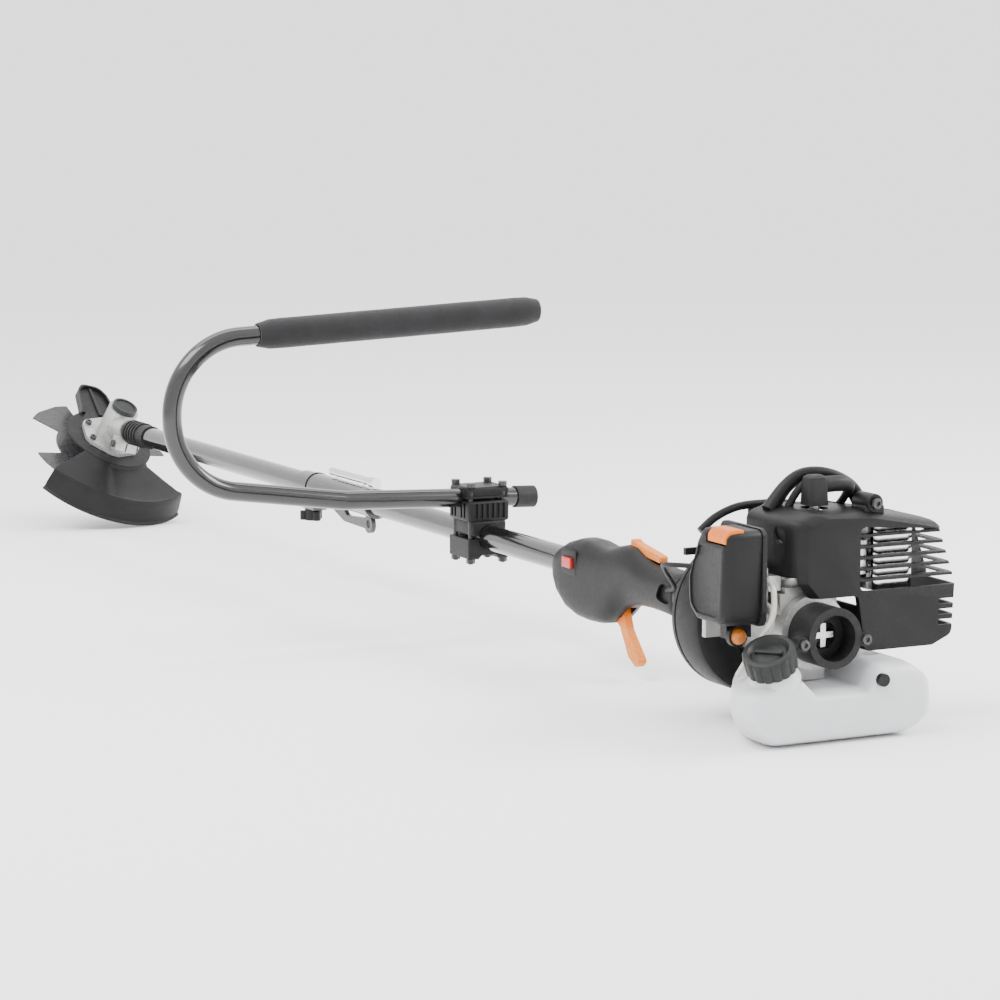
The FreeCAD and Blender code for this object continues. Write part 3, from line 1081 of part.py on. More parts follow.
def air_filter():
    plate = block("filter_back", ("filter_start", "filter_inner - filter_plate", "filter_bottom"),
                  ("filter_end", "filter_inner", "filter_top"))
    plate = rounded("filter_back_round", plate, "8", runs_along("y"))
    hole = rod("filter_back_hole", "8", "20", ("crank_x", "filter_inner - 10", "38"), "y")
    tongue = block("bulb_tongue", ("filter_end - 34.6", "filter_inner - filter_plate - 20",
                                   "filter_bottom - 12"),
                   ("filter_end - 24.6", "filter_inner", "filter_bottom + 6"))
    tongue_room = block("bulb_tongue_room", ("filter_end - 36.6", "filter_inner - filter_plate - 24",
                                             "filter_bottom - 0.4"),
                        ("filter_end - 22.6", "filter_inner - filter_plate", "filter_bottom + 8"))
    bezel = pipe("bulb_bezel", "9", "7 + loose_gap", "6",
                 ("filter_end - 24.7", "filter_inner - filter_plate - 12", "filter_bottom - 9.5"), "x")
    tongue = fuse("bulb_holder", [cut("bulb_bracket", tongue, [tongue_room]), bezel])
    node("filter_base", [cut("filter_base_cut", fuse("filter_base_whole", [plate, tongue]), [hole])])
    box = block("cover_box", ("filter_start", "filter_outer", "filter_bottom"),
                ("filter_end", "filter_inner - filter_plate - 0.2", "filter_top"))
    box = rounded("cover_box_round", box, "8", lambda middle, edge: middle.y < number("filter_outer") + 1
                  or abs(edge.tangentAt(edge.FirstParameter).y) > 0.9)
    room = block("cover_room", ("filter_start + filter_wall", "filter_outer + filter_wall + 4",
                                "filter_bottom + filter_wall"),
                 ("filter_end - filter_wall", "filter_inner", "filter_top - filter_wall"))
    room = rounded("cover_room_round", room, "5", runs_along("y"))
    panel = block("cover_panel", ("filter_start + 8", "filter_outer - 1", "filter_bottom + 9"),
                  ("filter_end - 7", "filter_outer + 1.6", "filter_top - 22"))
    panel = rounded("cover_panel_round", panel, "6", runs_along("y"))
    latch_seat = block("latch_seat", ("filter_end - 34", "filter_outer - 1", "filter_top - 12"),
                       ("filter_end - 4", "filter_outer + 20", "filter_top + 1"))
    node("filter_cover", [cut("cover_shell", box, [room, panel, latch_seat])])
    foam = block("filter_foam", ("filter_start + filter_wall + 3", "filter_outer + filter_wall + 10",
                                 "filter_bottom + 8"),
                 ("filter_end - filter_wall - 3", "filter_inner - filter_plate - 0.5", "filter_top - 16"))
    node("filter_element", [foam])
    latch = block("latch_block", ("filter_end - 33.6", "filter_outer + 0.4", "filter_top - 11.6"),
                  ("filter_end - 4.4", "filter_outer + 19.6", "filter_top + 1.4"))
    latch = rounded("latch_round", latch, "3", lambda middle,
                    edge: middle.y < number("filter_outer") + 1 and middle.z > number("filter_top"))
    node("cover_latch", [latch])
    dial = rod("choke_dial", "6", "6.5", ("filter_start - 6.8", "filter_outer + 22", "filter_top - 26"), "x")
    bar = block("choke_bar", ("filter_start - 5", "filter_outer + 2", "filter_top - 29"),
                ("filter_start - 1", "filter_outer + 22", "filter_top - 23"))
    node("choke_lever", [fuse("choke", [dial, bar])])
    skirt = rod("bulb_skirt", "7", "2", ("filter_end - 21", "filter_inner - filter_plate - 12",
                                         "filter_bottom - 9.5"), "x")
    dome = ball("bulb_dome", "7", ("filter_end - 19", "filter_inner - filter_plate - 12",
                                   "filter_bottom - 9.5"))
    rear = block("bulb_half", ("filter_end - 19", "filter_inner - 50", "filter_bottom - 30"),
                 ("filter_end + 10", "filter_inner + 10", "filter_bottom + 10"))
    node("primer_bulb", [fuse("bulb", [skirt, common("bulb_front", dome, rear)])])


TANK_OUTLINE = [
    ("-66", "tank_bottom", "16"), ("68", "tank_bottom", "20"), ("93", "-68", "14"), ("91", "-38", "16"),
    ("68", "-22", "14"), ("36", "-22", "8"), ("27", "-42", "6"), ("-25", "-42", "6"), ("-40", "-27", "6"),
    ("-62", "-28", "10"), ("-90", "-39", "10"), ("-93", "-58", "14"),
]
TANK_ROOM = [
    ("-65", "tank_bottom + tank_wall", "14"), ("67", "tank_bottom + tank_wall", "18"),
    ("93 - tank_wall", "-67", "12"), ("91 - tank_wall", "-39", "14"), ("67", "-22 - tank_wall", "12"),
    ("38", "-22 - tank_wall", "6"), ("29", "-42 - tank_wall", "6"), ("-27", "-42 - tank_wall", "6"),
    ("-42", "-27 - tank_wall", "5"), ("-62", "-28 - tank_wall", "8"), ("-90 + tank_wall", "-41", "8"),
    ("-93 + tank_wall", "-58", "12"),
]


def cap_turn():
    """The filler leans to the left and to the rear."""
    side = Rotation(Vector(1, 0, 0), number("cap_lean_side"))
    back = Rotation(Vector(0, 1, 0), number("cap_lean_back"))
    return side.multiply(back)


def down_filler(distance):
    """A point on the filler's axis, below the middle of the cap's top."""
    axis = cap_turn().multVec(Vector(0, 0, 1))
    return tuple(f"{base} - ({distance}) * ({share:.6f})"
                 for base, share in zip(("cap_x", "cap_y", "cap_z"), axis))


def front_corner(name, inset):
    """A wedge that takes the front left corner off the tank."""
    return padded(name, "XY_Plane", [
        ("tank_start - 10", f"corner_front + {inset}", None),
        ("tank_start - 10", "-130", None),
        ("tank_end + 10", "-130", None),
        ("tank_end + 10", f"corner_front - corner_slope * (tank_end - tank_start + 20) + {inset}", None),
    ], "200", "-150")


def fuel_tank():
    shell = padded("tank_shell", "YZ_Plane", TANK_OUTLINE, "tank_end - tank_start", "tank_start")
    shell = rounded("tank_round", shell, "5", lambda middle, edge: middle.x > number("tank_end") - 0.1)
    shell = cut("tank_shaped", shell, [front_corner("tank_corner", "0")])
    neck = rod("tank_neck", "neck_bore + 3", "cap_height + 5.7", down_filler("cap_height + 14"),
               turn=cap_turn())
    room = padded("tank_room", "YZ_Plane", TANK_ROOM, "tank_end - tank_start - 2 * tank_wall",
                  "tank_start + tank_wall")
    room = cut("tank_room_shaped", room, [front_corner("tank_room_corner", "1.2 * tank_wall")])
    neck_room = rod("tank_neck_room", "neck_bore", "30", down_filler("cap_height + 18"), turn=cap_turn())
    whole = cut("tank_hollow", fuse("tank_whole", [shell, neck]), [room, neck_room])
    node("fuel_tank", [whole])


def fuel_cap():
    disc = rod("cap_disc", "cap_radius", "cap_height", down_filler("cap_height"), turn=cap_turn())
    disc = rounded("cap_disc_round", disc, "2.5", lambda middle, edge: edge.Length > 60)
    room = rod("cap_room", "neck_bore + 3 + running_gap", "cap_height - 4", down_filler("cap_height + 4"),
               turn=cap_turn())
    skirt_room = rod("cap_skirt_room", "cap_radius - 3", "6", down_filler("cap_height + 1"), turn=cap_turn())
    node("fuel_cap", [cut("cap_piece", disc, [room, skirt_room])])


def fuel_lines():
    feed = cord("feed_line", [
        ("crank_x + carb_half + 8.2", "filter_inner + 8", "carb_high - 6"),
        ("crank_x + 41", "filter_inner + 8", "carb_high - 10"),
        ("crank_x + 51", "filter_inner + 3", "18"),
        ("crank_x + 43", "filter_inner - 13", "-8"),
        ("crank_x + 35", "filter_inner - 23", "-30.8"),
    ], "2.4")
    back = cord("return_line", [
        ("crank_x + carb_half + 8.2", "filter_inner + 9", "carb_low + 6"),
        ("crank_x + 37", "filter_inner + 9", "carb_low + 4"),
        ("crank_x + 43", "filter_inner + 5", "6"),
        ("crank_x + 37", "filter_inner - 6", "-11"),
        ("crank_x + 28", "filter_inner - 15", "-27.6"),
    ], "2.4")
    node("fuel_lines", [feed, back])


def throttle_cable():
    cable = cord("cable", [
        ("shell_rear - 14", "-15.5", "4"),
        ("shell_rear + 22", "-27", "12"),
        ("cone_start + 48", "-66", "42"),
        ("cone_end + 18", "-87", "50"),
        ("cone_end + 46", "-62", "50"),
        ("cone_end + 56", "-43", "46"),
        ("crank_x - carb_half - 0.3", "filter_inner + 12", "44"),
    ], "2.2")
    node("throttle_cable", [cable])


def start_port():
    """A collar with two screwed ears at the rear of the crankcase, open for a starter bit."""
    ring = rod("port_ring", "port_radius", "port_end - crankcase_end - 0.1",
               ("crankcase_end + 0.1", "0", "0"), "x")
    ears = [
        rod(f"port_ear_{index}", "ear_radius", "9", ("port_end - 10", f"{sign} * ear_offset", "-3"), "x")
        for index, sign in enumerate((1, -1))
    ]
    bridge = block("port_bridge", ("port_end - 10", "-ear_offset", "-8"), ("port_end - 2", "ear_offset", "2"))
    bore = rod("port_hole", "port_bore", "60", ("port_end - port_depth", "0", "0"), "x")
    neck = rod("port_neck", "12", "60", ("crankcase_end - 10", "0", "0"), "x")
    screw_holes = [
        rod(f"port_screw_hole_{index}", "2.2", "40", ("port_end - 20", f"{sign} * ear_offset", "-3"), "x")
        for index, sign in enumerate((1, -1))
    ]
    node("start_port", [cut("port", fuse("port_whole", [ring, bridge] + ears), [bore, neck] + screw_holes)])


def tank_vent():
    boss = rod("vent_boss", "5.5", "5", ("tank_end", "36", "-35"), "x")
    node("tank_vent", [boss])


def muffler():
    box = block("muffler_box", ("muffler_start", "muffler_left", "muffler_low"),
                ("muffler_end", "muffler_right", "muffler_high"))
    box = rounded("muffler_round", box, "9", runs_along("z"))
    room = block("muffler_room", ("muffler_start + 2", "muffler_left + 2", "muffler_low + 2"),
                 ("muffler_end - 2", "muffler_right - 2", "muffler_high - 2"))
    room = rounded("muffler_room_round", room, "7", runs_along("z"))
    neck = block("muffler_neck", ("crank_x - 14", "fin_right + 0.2", "muffler_low + 12"),
                 ("crank_x + 14", "muffler_left + 1", "muffler_low + 36"))
    duct = rod("muffler_duct", "8", "60", ("crank_x", "fin_right - 10", "muffler_low + 24"), "y")
    node("muffler", [cut("muffler_can", fuse("muffler_whole", [box, neck]), [room, duct])])


def cover_profile(gap):
    """The cover seen from behind: a tall left part, a roof that falls to the right and a skirt."""
    return [
        (f"cover_left + {gap}", f"cover_low + 14", None),
        (f"cover_left + {gap}", f"cover_top - {gap}", "6"),
        (f"cover_step + 14", f"cover_top - 2 - {gap}", "30"),
        (f"cover_right - {gap}", f"cover_top_right - {gap}", "5"),
        (f"cover_flank - {gap}", "cover_flank_top", "12"),
        (f"cover_flank - 2 - {gap}", f"skirt_low + 8 + {gap}", "6"),
        (f"cover_flank - 22 - {gap}", f"skirt_low + {gap}", "6"),
        (f"cover_step + 6 + {gap}", f"skirt_low + {gap}", "4"),
        (f"cover_step + {gap}", f"cover_low + {gap}", "4"),
        (f"cover_left + 12 + {gap}", f"cover_low + {gap}", None),
    ]


def engine_cover():
    """The moulded cover over the cylinder and muffler, with a barred window at its rear right."""
    skin = padded("cover_skin", "YZ_Plane", cover_profile("0"), "cover_end - cover_start", "cover_start")
    skin = rounded("cover_skin_round", skin, "2.5", lambda middle, edge: middle.x > number("cover_end") - 0.1)
    room = padded("cover_inside", "YZ_Plane", cover_profile("cover_wall"),
                  "cover_end - cover_start - cover_wall + 5",
                  "cover_start - 5")
    slots = []
    for index in range(int(number("grille_bars"))):
        slots.append(block(f"grille_slot_{index}",
                           ("cover_end - 44", "grille_left", f"grille_low + {index} * grille_pitch"),
                           ("cover_end + 10", "cover_flank + 10",
                            f"grille_low + {index} * grille_pitch + grille_slot")))
    for index in range(3):
        slots.append(block(f"skirt_slot_{index}",
                           ("cover_end - 40", "cover_flank - 12", f"{-2 + 9 * index}"),
                           ("cover_end + 10", "cover_flank + 10", f"{3.5 + 9 * index}")))
    bottom = block("cover_bottom_room", ("cover_start - 5", "cover_step + 9", "skirt_low - 5"),
                   ("cover_end - 16", "cover_flank - 24", "skirt_low + 8"))
    deck_room = block("cover_deck_room", ("cover_start - 5", "cover_left - 5", "cover_low - 5"),
                      ("cover_end - cover_wall - 1", "cover_step + 5", "cover_low + 20"))
    boot_hole = rod("cover_boot_hole", "11", "30", ("plug_x", "plug_y", "cover_top - 15"))
    lead_hole = rod("cover_lead_hole", "6", "30", ("plug_x - 24", "plug_y + 41", "cover_top - 18"))
    shell = cut("cover_hollow", skin, [room, bottom, deck_room, boot_hole, lead_hole] + slots)
    arch = padded("plug_arch", "YZ_Plane", [
        ("-24", "98", None), ("-6", "126", "14"), ("26", "136", "16"), ("62", "116", "8"), ("74", "98", None),
        ("66", "98", None), ("54", "110", "6"), ("24", "127", "12"), ("0", "118", "10"), ("-14", "98", None),
    ], "9", "plug_x - 34")
    roof = padded("arch_room", "YZ_Plane", [
        ("-60", "60", None), ("-60", "cover_top - 1", None), ("cover_step + 14", "cover_top - 3", "30"),
        ("cover_right", "cover_top_right - 1", None), ("cover_right", "60", None),
    ], "cover_end - cover_start", "cover_start")
    boss = rod("cover_boss", "8", "26", ("cover_end - 34", "60", "cover_top + 3"), "x")
    arch = cut("plug_arch_cut", fuse("arch_whole", [arch, boss]), [roof])
    node("engine_cover", [fuse("cover_with_arch", [shell, arch])])


def housing_screws():
    """Torx screws: two in the port's ears and one in the cover's boss."""
    items = []
    spots = [("port_end - 1", "ear_offset", "-3", "x"), ("port_end - 1", "-ear_offset", "-3", "x")]
    for index, (x, y, z, axis) in enumerate(spots):
        stem = rod(f"port_screw_stem_{index}", "2.2 - running_gap", "10", (f"{x} - 10", y, z), axis)
        head = rod(f"port_screw_head_{index}", "4.4", "3", (x, y, z), axis)
        socket = prism(f"port_screw_socket_{index}", 6, "2.2", "3", (f"{x} + 1.6", y, z), axis)
        items.append(cut(f"port_screw_{index}", fuse(f"port_screw_whole_{index}", [stem, head]), [socket]))
    head = rod("cover_screw_head", "4.6", "3", ("cover_end - 8", "60", "cover_top + 3"), "x")
    socket = prism("cover_screw_socket", 6, "2.2", "3", ("cover_end - 6.4", "60", "cover_top + 3"), "x")
    items.append(cut("cover_screw", head, [socket]))
    node("housing_screws", items)


def build():
    gear_housing()
    gearbox_bolts()
    output_spindle()
    blade_clamp()
    cutting_blade()
    blade_guard()
    bevel_pinion()
    shaft_tubes()
    shaft_collar()
    drive_line()
    coupler()
    harness_points()
    handle_clamp()
    j_handle()
    throttle_shells()
    throttle_controls()
    clutch_housing()
    clutch()
    fan_housing()
    flywheel()
    crankshaft()
    crankcase()
    bearings()
    cylinder()
    ignition()
    carburettor()
    air_filter()
    fuel_tank()
    fuel_cap()
    fuel_lines()
    throttle_cable()
    start_port()
    tank_vent()
    muffler()
    engine_cover()
    housing_screws()


def save():
    """Refuse a failed feature or a bad shape, then write every sub-part."""
    doc.recompute()
    failed = [item.Name for item in doc.Objects if {"Invalid", "Error"} & set(item.State)]
    bad = [item.Name for item in nodes
           if item.Shape.isNull() or not item.Shape.isValid() or not item.Shape.Solids]
    if failed or bad:
        raise RuntimeError(f"failed features: {failed}; bad nodes: {bad}")
    for item in nodes:
        item.Shape.exportStep(f"parts/{item.Label}.step")
    print(len(nodes), "nodes")


build()
save()
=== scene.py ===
import json
import math

import bmesh
import bpy
from mathutils import Matrix, Vector, noise


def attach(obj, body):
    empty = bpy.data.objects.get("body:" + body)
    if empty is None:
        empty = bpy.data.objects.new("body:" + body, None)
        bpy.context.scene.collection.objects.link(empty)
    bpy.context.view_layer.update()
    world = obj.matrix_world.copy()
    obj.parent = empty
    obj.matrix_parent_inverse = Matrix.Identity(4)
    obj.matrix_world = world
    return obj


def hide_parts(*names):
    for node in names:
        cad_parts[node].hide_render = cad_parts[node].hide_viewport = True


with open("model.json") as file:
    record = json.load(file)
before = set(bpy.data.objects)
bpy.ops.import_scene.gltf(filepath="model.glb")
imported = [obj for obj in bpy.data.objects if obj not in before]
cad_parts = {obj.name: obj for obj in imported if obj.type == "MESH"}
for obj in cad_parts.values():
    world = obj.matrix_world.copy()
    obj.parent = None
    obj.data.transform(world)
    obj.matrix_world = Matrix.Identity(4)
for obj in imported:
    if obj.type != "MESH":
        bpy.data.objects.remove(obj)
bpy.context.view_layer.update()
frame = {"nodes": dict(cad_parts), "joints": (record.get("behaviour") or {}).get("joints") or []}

# ---------------------------------------------------------------- places
# Everything is drawn in millimetres along the shaft (+X back to the engine, +Y the operator's right,
# +Z up, blade axis through the origin) and placed by the record's joints.

JOINTS = {joint["name"]: joint for joint in frame["joints"]}
SHAFT = Vector(JOINTS["drive_line_spin"]["axis"]).normalized()
SIDE = Vector((0.0, 1.0, 0.0))
LINE = Matrix.Translation(JOINTS["blade_spin"]["pos_m"]) @ Matrix(
    (SHAFT, SIDE, SHAFT.cross(SIDE))).transposed().to_4x4() @ Matrix.Scale(0.001, 4)
HEAD_ROLL, HEAD_TILT = 16, 30
HEAD = LINE @ Matrix.Rotation(math.radians(-HEAD_ROLL), 4, "X") \
    @ Matrix.Rotation(math.radians(HEAD_TILT), 4, "Y")


def facing_back(x, y, z):
    """A place on the shaft's lines whose z axis runs back along the shaft."""
    return LINE @ Matrix.Translation((x, y, z)) @ Matrix.Rotation(math.radians(90), 4, "Y")


# ---------------------------------------------------------------- materials

def finish(name, colour, rough, metallic=0.0, coat=0.0, coat_rough=0.1, vary=0.25, vary_scale=60.0,
           rough_vary=0.12, grain=0.0, grain_scale=1800.0, grain_kind="noise", wear=0.0,
           wear_colour=(0.3, 0.3, 0.3), sheen=0.0, specular=0.5, transmission=0.0, subsurface=0.0,
           brushed=None):
    """A node material: mottled colour, uneven gloss, surface grain and worn edges, in object space."""
    material = bpy.data.materials.new(name)
    material.use_nodes = True
    nodes, links = material.node_tree.nodes, material.node_tree.links
    shader = nodes["Principled BSDF"]
    shader.inputs["Metallic"].default_value = metallic
    shader.inputs["Coat Weight"].default_value = coat
    shader.inputs["Coat Roughness"].default_value = coat_rough
    shader.inputs["Sheen Weight"].default_value = sheen
    shader.inputs["Specular IOR Level"].default_value = specular
    shader.inputs["Transmission Weight"].default_value = transmission
    shader.inputs["Subsurface Weight"].default_value = subsurface
    shader.inputs["Subsurface Radius"].default_value = (0.02, 0.02, 0.02)
    shader.inputs["Subsurface Scale"].default_value = 1.0
    shader.inputs["IOR"].default_value = 1.5
    spot = nodes.new("ShaderNodeTexCoord")
    where = spot.outputs["Object"]
    if brushed:
        stretch = nodes.new("ShaderNodeMapping")
        stretch.inputs["Scale"].default_value = brushed
        links.new(where, stretch.inputs["Vector"])
        grain_at = stretch.outputs["Vector"]
    else:
        grain_at = where

    def field(scale, detail, at):
        texture = nodes.new("ShaderNodeTexNoise")
        texture.inputs["Scale"].default_value = scale
        texture.inputs["Detail"].default_value = detail
        links.new(at, texture.inputs["Vector"])
        return texture.outputs["Fac"]

    def spread(source, low, high, span=(0.3, 0.7)):
        change = nodes.new("ShaderNodeMapRange")
        change.inputs["From Min"].default_value = span[0]
        change.inputs["From Max"].default_value = span[1]
        change.inputs["To Min"].default_value = low
        change.inputs["To Max"].default_value = high
        links.new(source, change.inputs["Value"])
        return change.outputs["Result"]

    broad = field(vary_scale, 4.0, where)
    fine = field(vary_scale * 9, 3.0, where)
    tone = nodes.new("ShaderNodeMix")
    tone.data_type = "RGBA"
    tone.inputs["A"].default_value = (*[c * (1 - vary) for c in colour], 1)
    tone.inputs["B"].default_value = (*[min(1.0, c * (1 + vary)) for c in colour], 1)
    links.new(spread(broad, 0.0, 1.0), tone.inputs["Factor"])
    shown = tone.outputs["Result"]
    gloss = spread(fine, max(0.02, rough - rough_vary / 2), min(1.0, rough + rough_vary / 2))
    if wear:
        shape = nodes.new("ShaderNodeNewGeometry")
        edge = spread(shape.outputs["Pointiness"], 0.0, wear, (0.53, 0.62))
        patchy = nodes.new("ShaderNodeMath")
        patchy.operation = "MULTIPLY"
        links.new(edge, patchy.inputs[0])
        links.new(spread(field(400.0, 4.0, where), 0.1, 1.0), patchy.inputs[1])
        worn = nodes.new("ShaderNodeMix")
        worn.data_type = "RGBA"
        worn.inputs["B"].default_value = (*wear_colour, 1)
        links.new(shown, worn.inputs["A"])
        links.new(patchy.outputs["Value"], worn.inputs["Factor"])
        shown = worn.outputs["Result"]
    links.new(shown, shader.inputs["Base Color"])
    links.new(gloss, shader.inputs["Roughness"])
    if grain:
        if grain_kind == "cells":
            texture = nodes.new("ShaderNodeTexVoronoi")
            texture.inputs["Scale"].default_value = grain_scale
            links.new(grain_at, texture.inputs["Vector"])
            height = texture.outputs["Distance"]
        else:
            height = field(grain_scale, 5.0, grain_at)
        bump = nodes.new("ShaderNodeBump")
        bump.inputs["Strength"].default_value = grain
        bump.inputs["Distance"].default_value = 0.0004
        links.new(height, bump.inputs["Height"])
        links.new(bump.outputs["Normal"], shader.inputs["Normal"])
    return material


MATERIALS = {
    "cast_aluminium": finish("cast_aluminium", (0.40, 0.40, 0.39), 0.42, metallic=0.75, vary=0.12,
                             vary_scale=90, grain=0.5, grain_scale=900, wear=0.5,
                             wear_colour=(0.85, 0.85, 0.84)),
    "black_plastic": finish("black_plastic", (0.0075, 0.0075, 0.008), 0.42, specular=0.2, vary=0.18,
                            vary_scale=35, rough_vary=0.10, grain=0.30, grain_scale=2600, wear=0.3,
                            wear_colour=(0.04, 0.04, 0.04)),
    "dark_grey_plastic": finish("dark_grey_plastic", (0.014, 0.015, 0.0145), 0.42, specular=0.22, vary=0.16,
                                vary_scale=40, grain=0.22, grain_scale=2300, wear=0.4,
                                wear_colour=(0.06, 0.06, 0.06)),
    "black_gloss_tube": finish("black_gloss_tube", (0.004, 0.004, 0.0045), 0.18, coat=0.6, coat_rough=0.06,
                               vary=0.15, vary_scale=30, rough_vary=0.06, grain=0.05, grain_scale=500),
    "black_rubber": finish("black_rubber", (0.006, 0.006, 0.0065), 0.55, specular=0.3, vary=0.2,
                           vary_scale=60, grain=0.25, grain_scale=1500, wear=0.3,
                           wear_colour=(0.03, 0.03, 0.03)),
    "dark_foam": finish("dark_foam", (0.011, 0.011, 0.012), 0.85, vary=0.22, vary_scale=45, rough_vary=0.08,
                        grain=0.7, grain_scale=1100, grain_kind="cells", sheen=0.15, specular=0.25),
    "filter_foam": finish("filter_foam", (0.2, 0.2, 0.18), 0.9, vary=0.2, vary_scale=60, grain=0.8,
                          grain_scale=700, grain_kind="cells"),
    "bright_steel": finish("bright_steel", (0.58, 0.58, 0.59), 0.28, metallic=1.0, vary=0.1, vary_scale=80,
                           rough_vary=0.15, grain=0.12, grain_scale=900, brushed=(1.0, 0.06, 1.0)),
    "black_steel": finish("black_steel", (0.007, 0.007, 0.0075), 0.3, vary=0.2, vary_scale=45, grain=0.12,
                          grain_scale=1200, wear=0.5, wear_colour=(0.12, 0.12, 0.125)),
    "chrome_steel": finish("chrome_steel", (0.72, 0.72, 0.73), 0.10, metallic=1.0, vary=0.06, vary_scale=60,
                           rough_vary=0.08, grain=0.04, grain_scale=600, brushed=(0.05, 1.0, 1.0)),
    "light_alloy": finish("light_alloy", (0.57, 0.57, 0.56), 0.36, metallic=0.9, vary=0.12, vary_scale=70,
                          grain=0.2, grain_scale=1100, wear=0.3, wear_colour=(0.8, 0.8, 0.8)),
    "orange_plastic": finish("orange_plastic", (0.62, 0.13, 0.0), 0.4, vary=0.10, vary_scale=60, grain=0.08,
                             grain_scale=1500, wear=0.25, wear_colour=(0.95, 0.55, 0.12), specular=0.3),
    "red_plastic": finish("red_plastic", (0.50, 0.006, 0.006), 0.28, vary=0.12, vary_scale=80, grain=0.05,
                          grain_scale=1500, coat=0.3),
    "amber_rubber": finish("amber_rubber", (0.60, 0.17, 0.01), 0.3, vary=0.12, vary_scale=80, grain=0.05,
                           grain_scale=1500, transmission=0.35, subsurface=0.2),
    "white_tank": finish("white_tank", (0.60, 0.61, 0.63), 0.34, vary=0.035, vary_scale=22, rough_vary=0.12,
                         grain=0.15, grain_scale=420, subsurface=0.35),
    "clear_hose": finish("clear_hose", (0.80, 0.78, 0.70), 0.14, vary=0.06, vary_scale=80, grain=0.06,
                         grain_scale=900, transmission=0.55),
}

CREASE = 32  # edges that turn by more degrees than this are shaded sharp

SLOT_OF = {}
for slot, names in {
    "cast_aluminium": "gear_housing crankcase cylinder",
    "dark_grey_plastic": "housing_plug fuel_cap clutch_housing",
    "black_steel": "gearbox_bolts clamp_bolts housing_screws harness_hanger cutting_blade blade_washers",
    "bright_steel": "output_spindle blade_nut bevel_pinion drive_shaft clutch_drum clutch_shoes crankshaft"
                    " engine_bearings head_bearings spark_plug",
    "black_plastic": "blade_guard clamp_base clamp_saddle clamp_cap grip_shell_left grip_shell_right"
                     " fan_housing engine_cover filter_cover filter_base start_port tube_bushings choke_lever"
                     " tank_vent coupler_knob ignition_coil",
    "black_gloss_tube": "lower_tube upper_tube coupler_sleeve handle_tube",
    "black_rubber": "shaft_collar handle_end_cap ignition_lead throttle_cable",
    "dark_foam": "foam_grip", "filter_foam": "filter_element", "chrome_steel": "harness_rail muffler",
    "light_alloy": "flywheel piston carburettor",
    "orange_plastic": "throttle_trigger throttle_lockout cover_latch",
    "red_plastic": "stop_switch", "amber_rubber": "primer_bulb", "white_tank": "fuel_tank",
    "clear_hose": "fuel_lines",
}.items():
    for name in names.split():
        SLOT_OF[name] = slot
for name, node in frame["nodes"].items():
    node.data.materials.clear()
    node.data.materials.append(MATERIALS[SLOT_OF[name]])
    for face in node.data.polygons:
        face.use_smooth = True
    node.data.set_sharp_from_angle(angle=math.radians(CREASE))

# ---------------------------------------------------------------- detailed pieces

SHARP = 0.01  # corner radius, mm, of a block before it is softened
WELD = 0.0001  # distance, m, under which the points of such a corner merge


def rounded(corners, steps=6):
    """A closed outline through corners (a, b, radius), the same number of points for each corner."""
    path = []
    for index, (a, b, radius) in enumerate(corners):
        here = Vector((a, b))
        back = Vector(corners[index - 1][:2]) - here
        ahead = Vector(corners[(index + 1) % len(corners)][:2]) - here
        half = back.angle(ahead) / 2
        reach = min(radius / math.tan(half), 0.48 * back.length, 0.48 * ahead.length)
        start, end = here + back.normalized() * reach, here + ahead.normalized() * reach
        for step in range(steps + 1):
            t = step / steps
            path.append(start * (1 - t) ** 2 + here * 2 * t * (1 - t) + end * t * t)
    return path


def shaped(name, rings, place=LINE):
    """A closed skin over rings of as many points each, with both ends capped."""
    count = len(rings[0])
    faces = [tuple(range(count)), tuple(range(count * len(rings) - 1, count * (len(rings) - 1) - 1, -1))]
    for row in range(len(rings) - 1):
        for index in range(count):
            a, b = row * count + index, row * count + (index + 1) % count
            faces.append((b, a, a + count, b + count))
    mesh = bpy.data.meshes.new(name)
    mesh.from_pydata([place @ Vector(spot) for ring in rings for spot in ring], [], faces)
    form = bmesh.new()
    form.from_mesh(mesh)
    bmesh.ops.recalc_face_normals(form, faces=form.faces)
    form.to_mesh(mesh)
    form.free()
    item = bpy.data.objects.new(name, mesh)
    bpy.context.scene.collection.objects.link(item)
    return item


def loft(name, sections, axis="x", place=LINE):
    """Sections (station, corners) along an axis; the corners lie in the two other directions."""
    rings = []
    for station, corners in sections:
        ring = rounded(corners)
        if axis == "x":
            rings.append([(station, p.x, p.y) for p in ring])
        elif axis == "y":
            rings.append([(p.x, station, p.y) for p in ring])
        else:
            rings.append([(p.x, p.y, station) for p in ring])
    return shaped(name, rings, place)


def tube(name, path, radius, sides=20, place=LINE, flat=1.0):
    """A hose or bar along a smooth path; radius is a number or one number for each path point."""
    spots = [Vector(p) for p in path]
    radii = radius if isinstance(radius, (list, tuple)) else [radius] * len(spots)
    fine = []
    for index in range(len(spots) - 1):
        p0, p1, p2 = spots[max(index - 1, 0)], spots[index], spots[index + 1]
        p3 = spots[min(index + 2, len(spots) - 1)]
        for step in range(8):
            t = step / 8
            fine.append((0.5 * (2 * p1 + (p2 - p0) * t + (2 * p0 - 5 * p1 + 4 * p2 - p3) * t * t
                                + (3 * p1 - p0 - 3 * p2 + p3) * t ** 3),
                         radii[index] + (radii[index + 1] - radii[index]) * t))
    fine.append((spots[-1], radii[-1]))
    rings, across = [], None
    for index, (spot, size) in enumerate(fine):
        ahead = (fine[min(index + 1, len(fine) - 1)][0] - fine[max(index - 1, 0)][0]).normalized()
        across = ahead.orthogonal() if across is None else across - ahead * across.dot(ahead)
        across.normalize()
        other = ahead.cross(across)
        rings.append([spot + across * math.cos(2 * math.pi * k / sides) * size * flat
                      + other * math.sin(2 * math.pi * k / sides) * size for k in range(sides)])
    return shaped(name, rings, place)


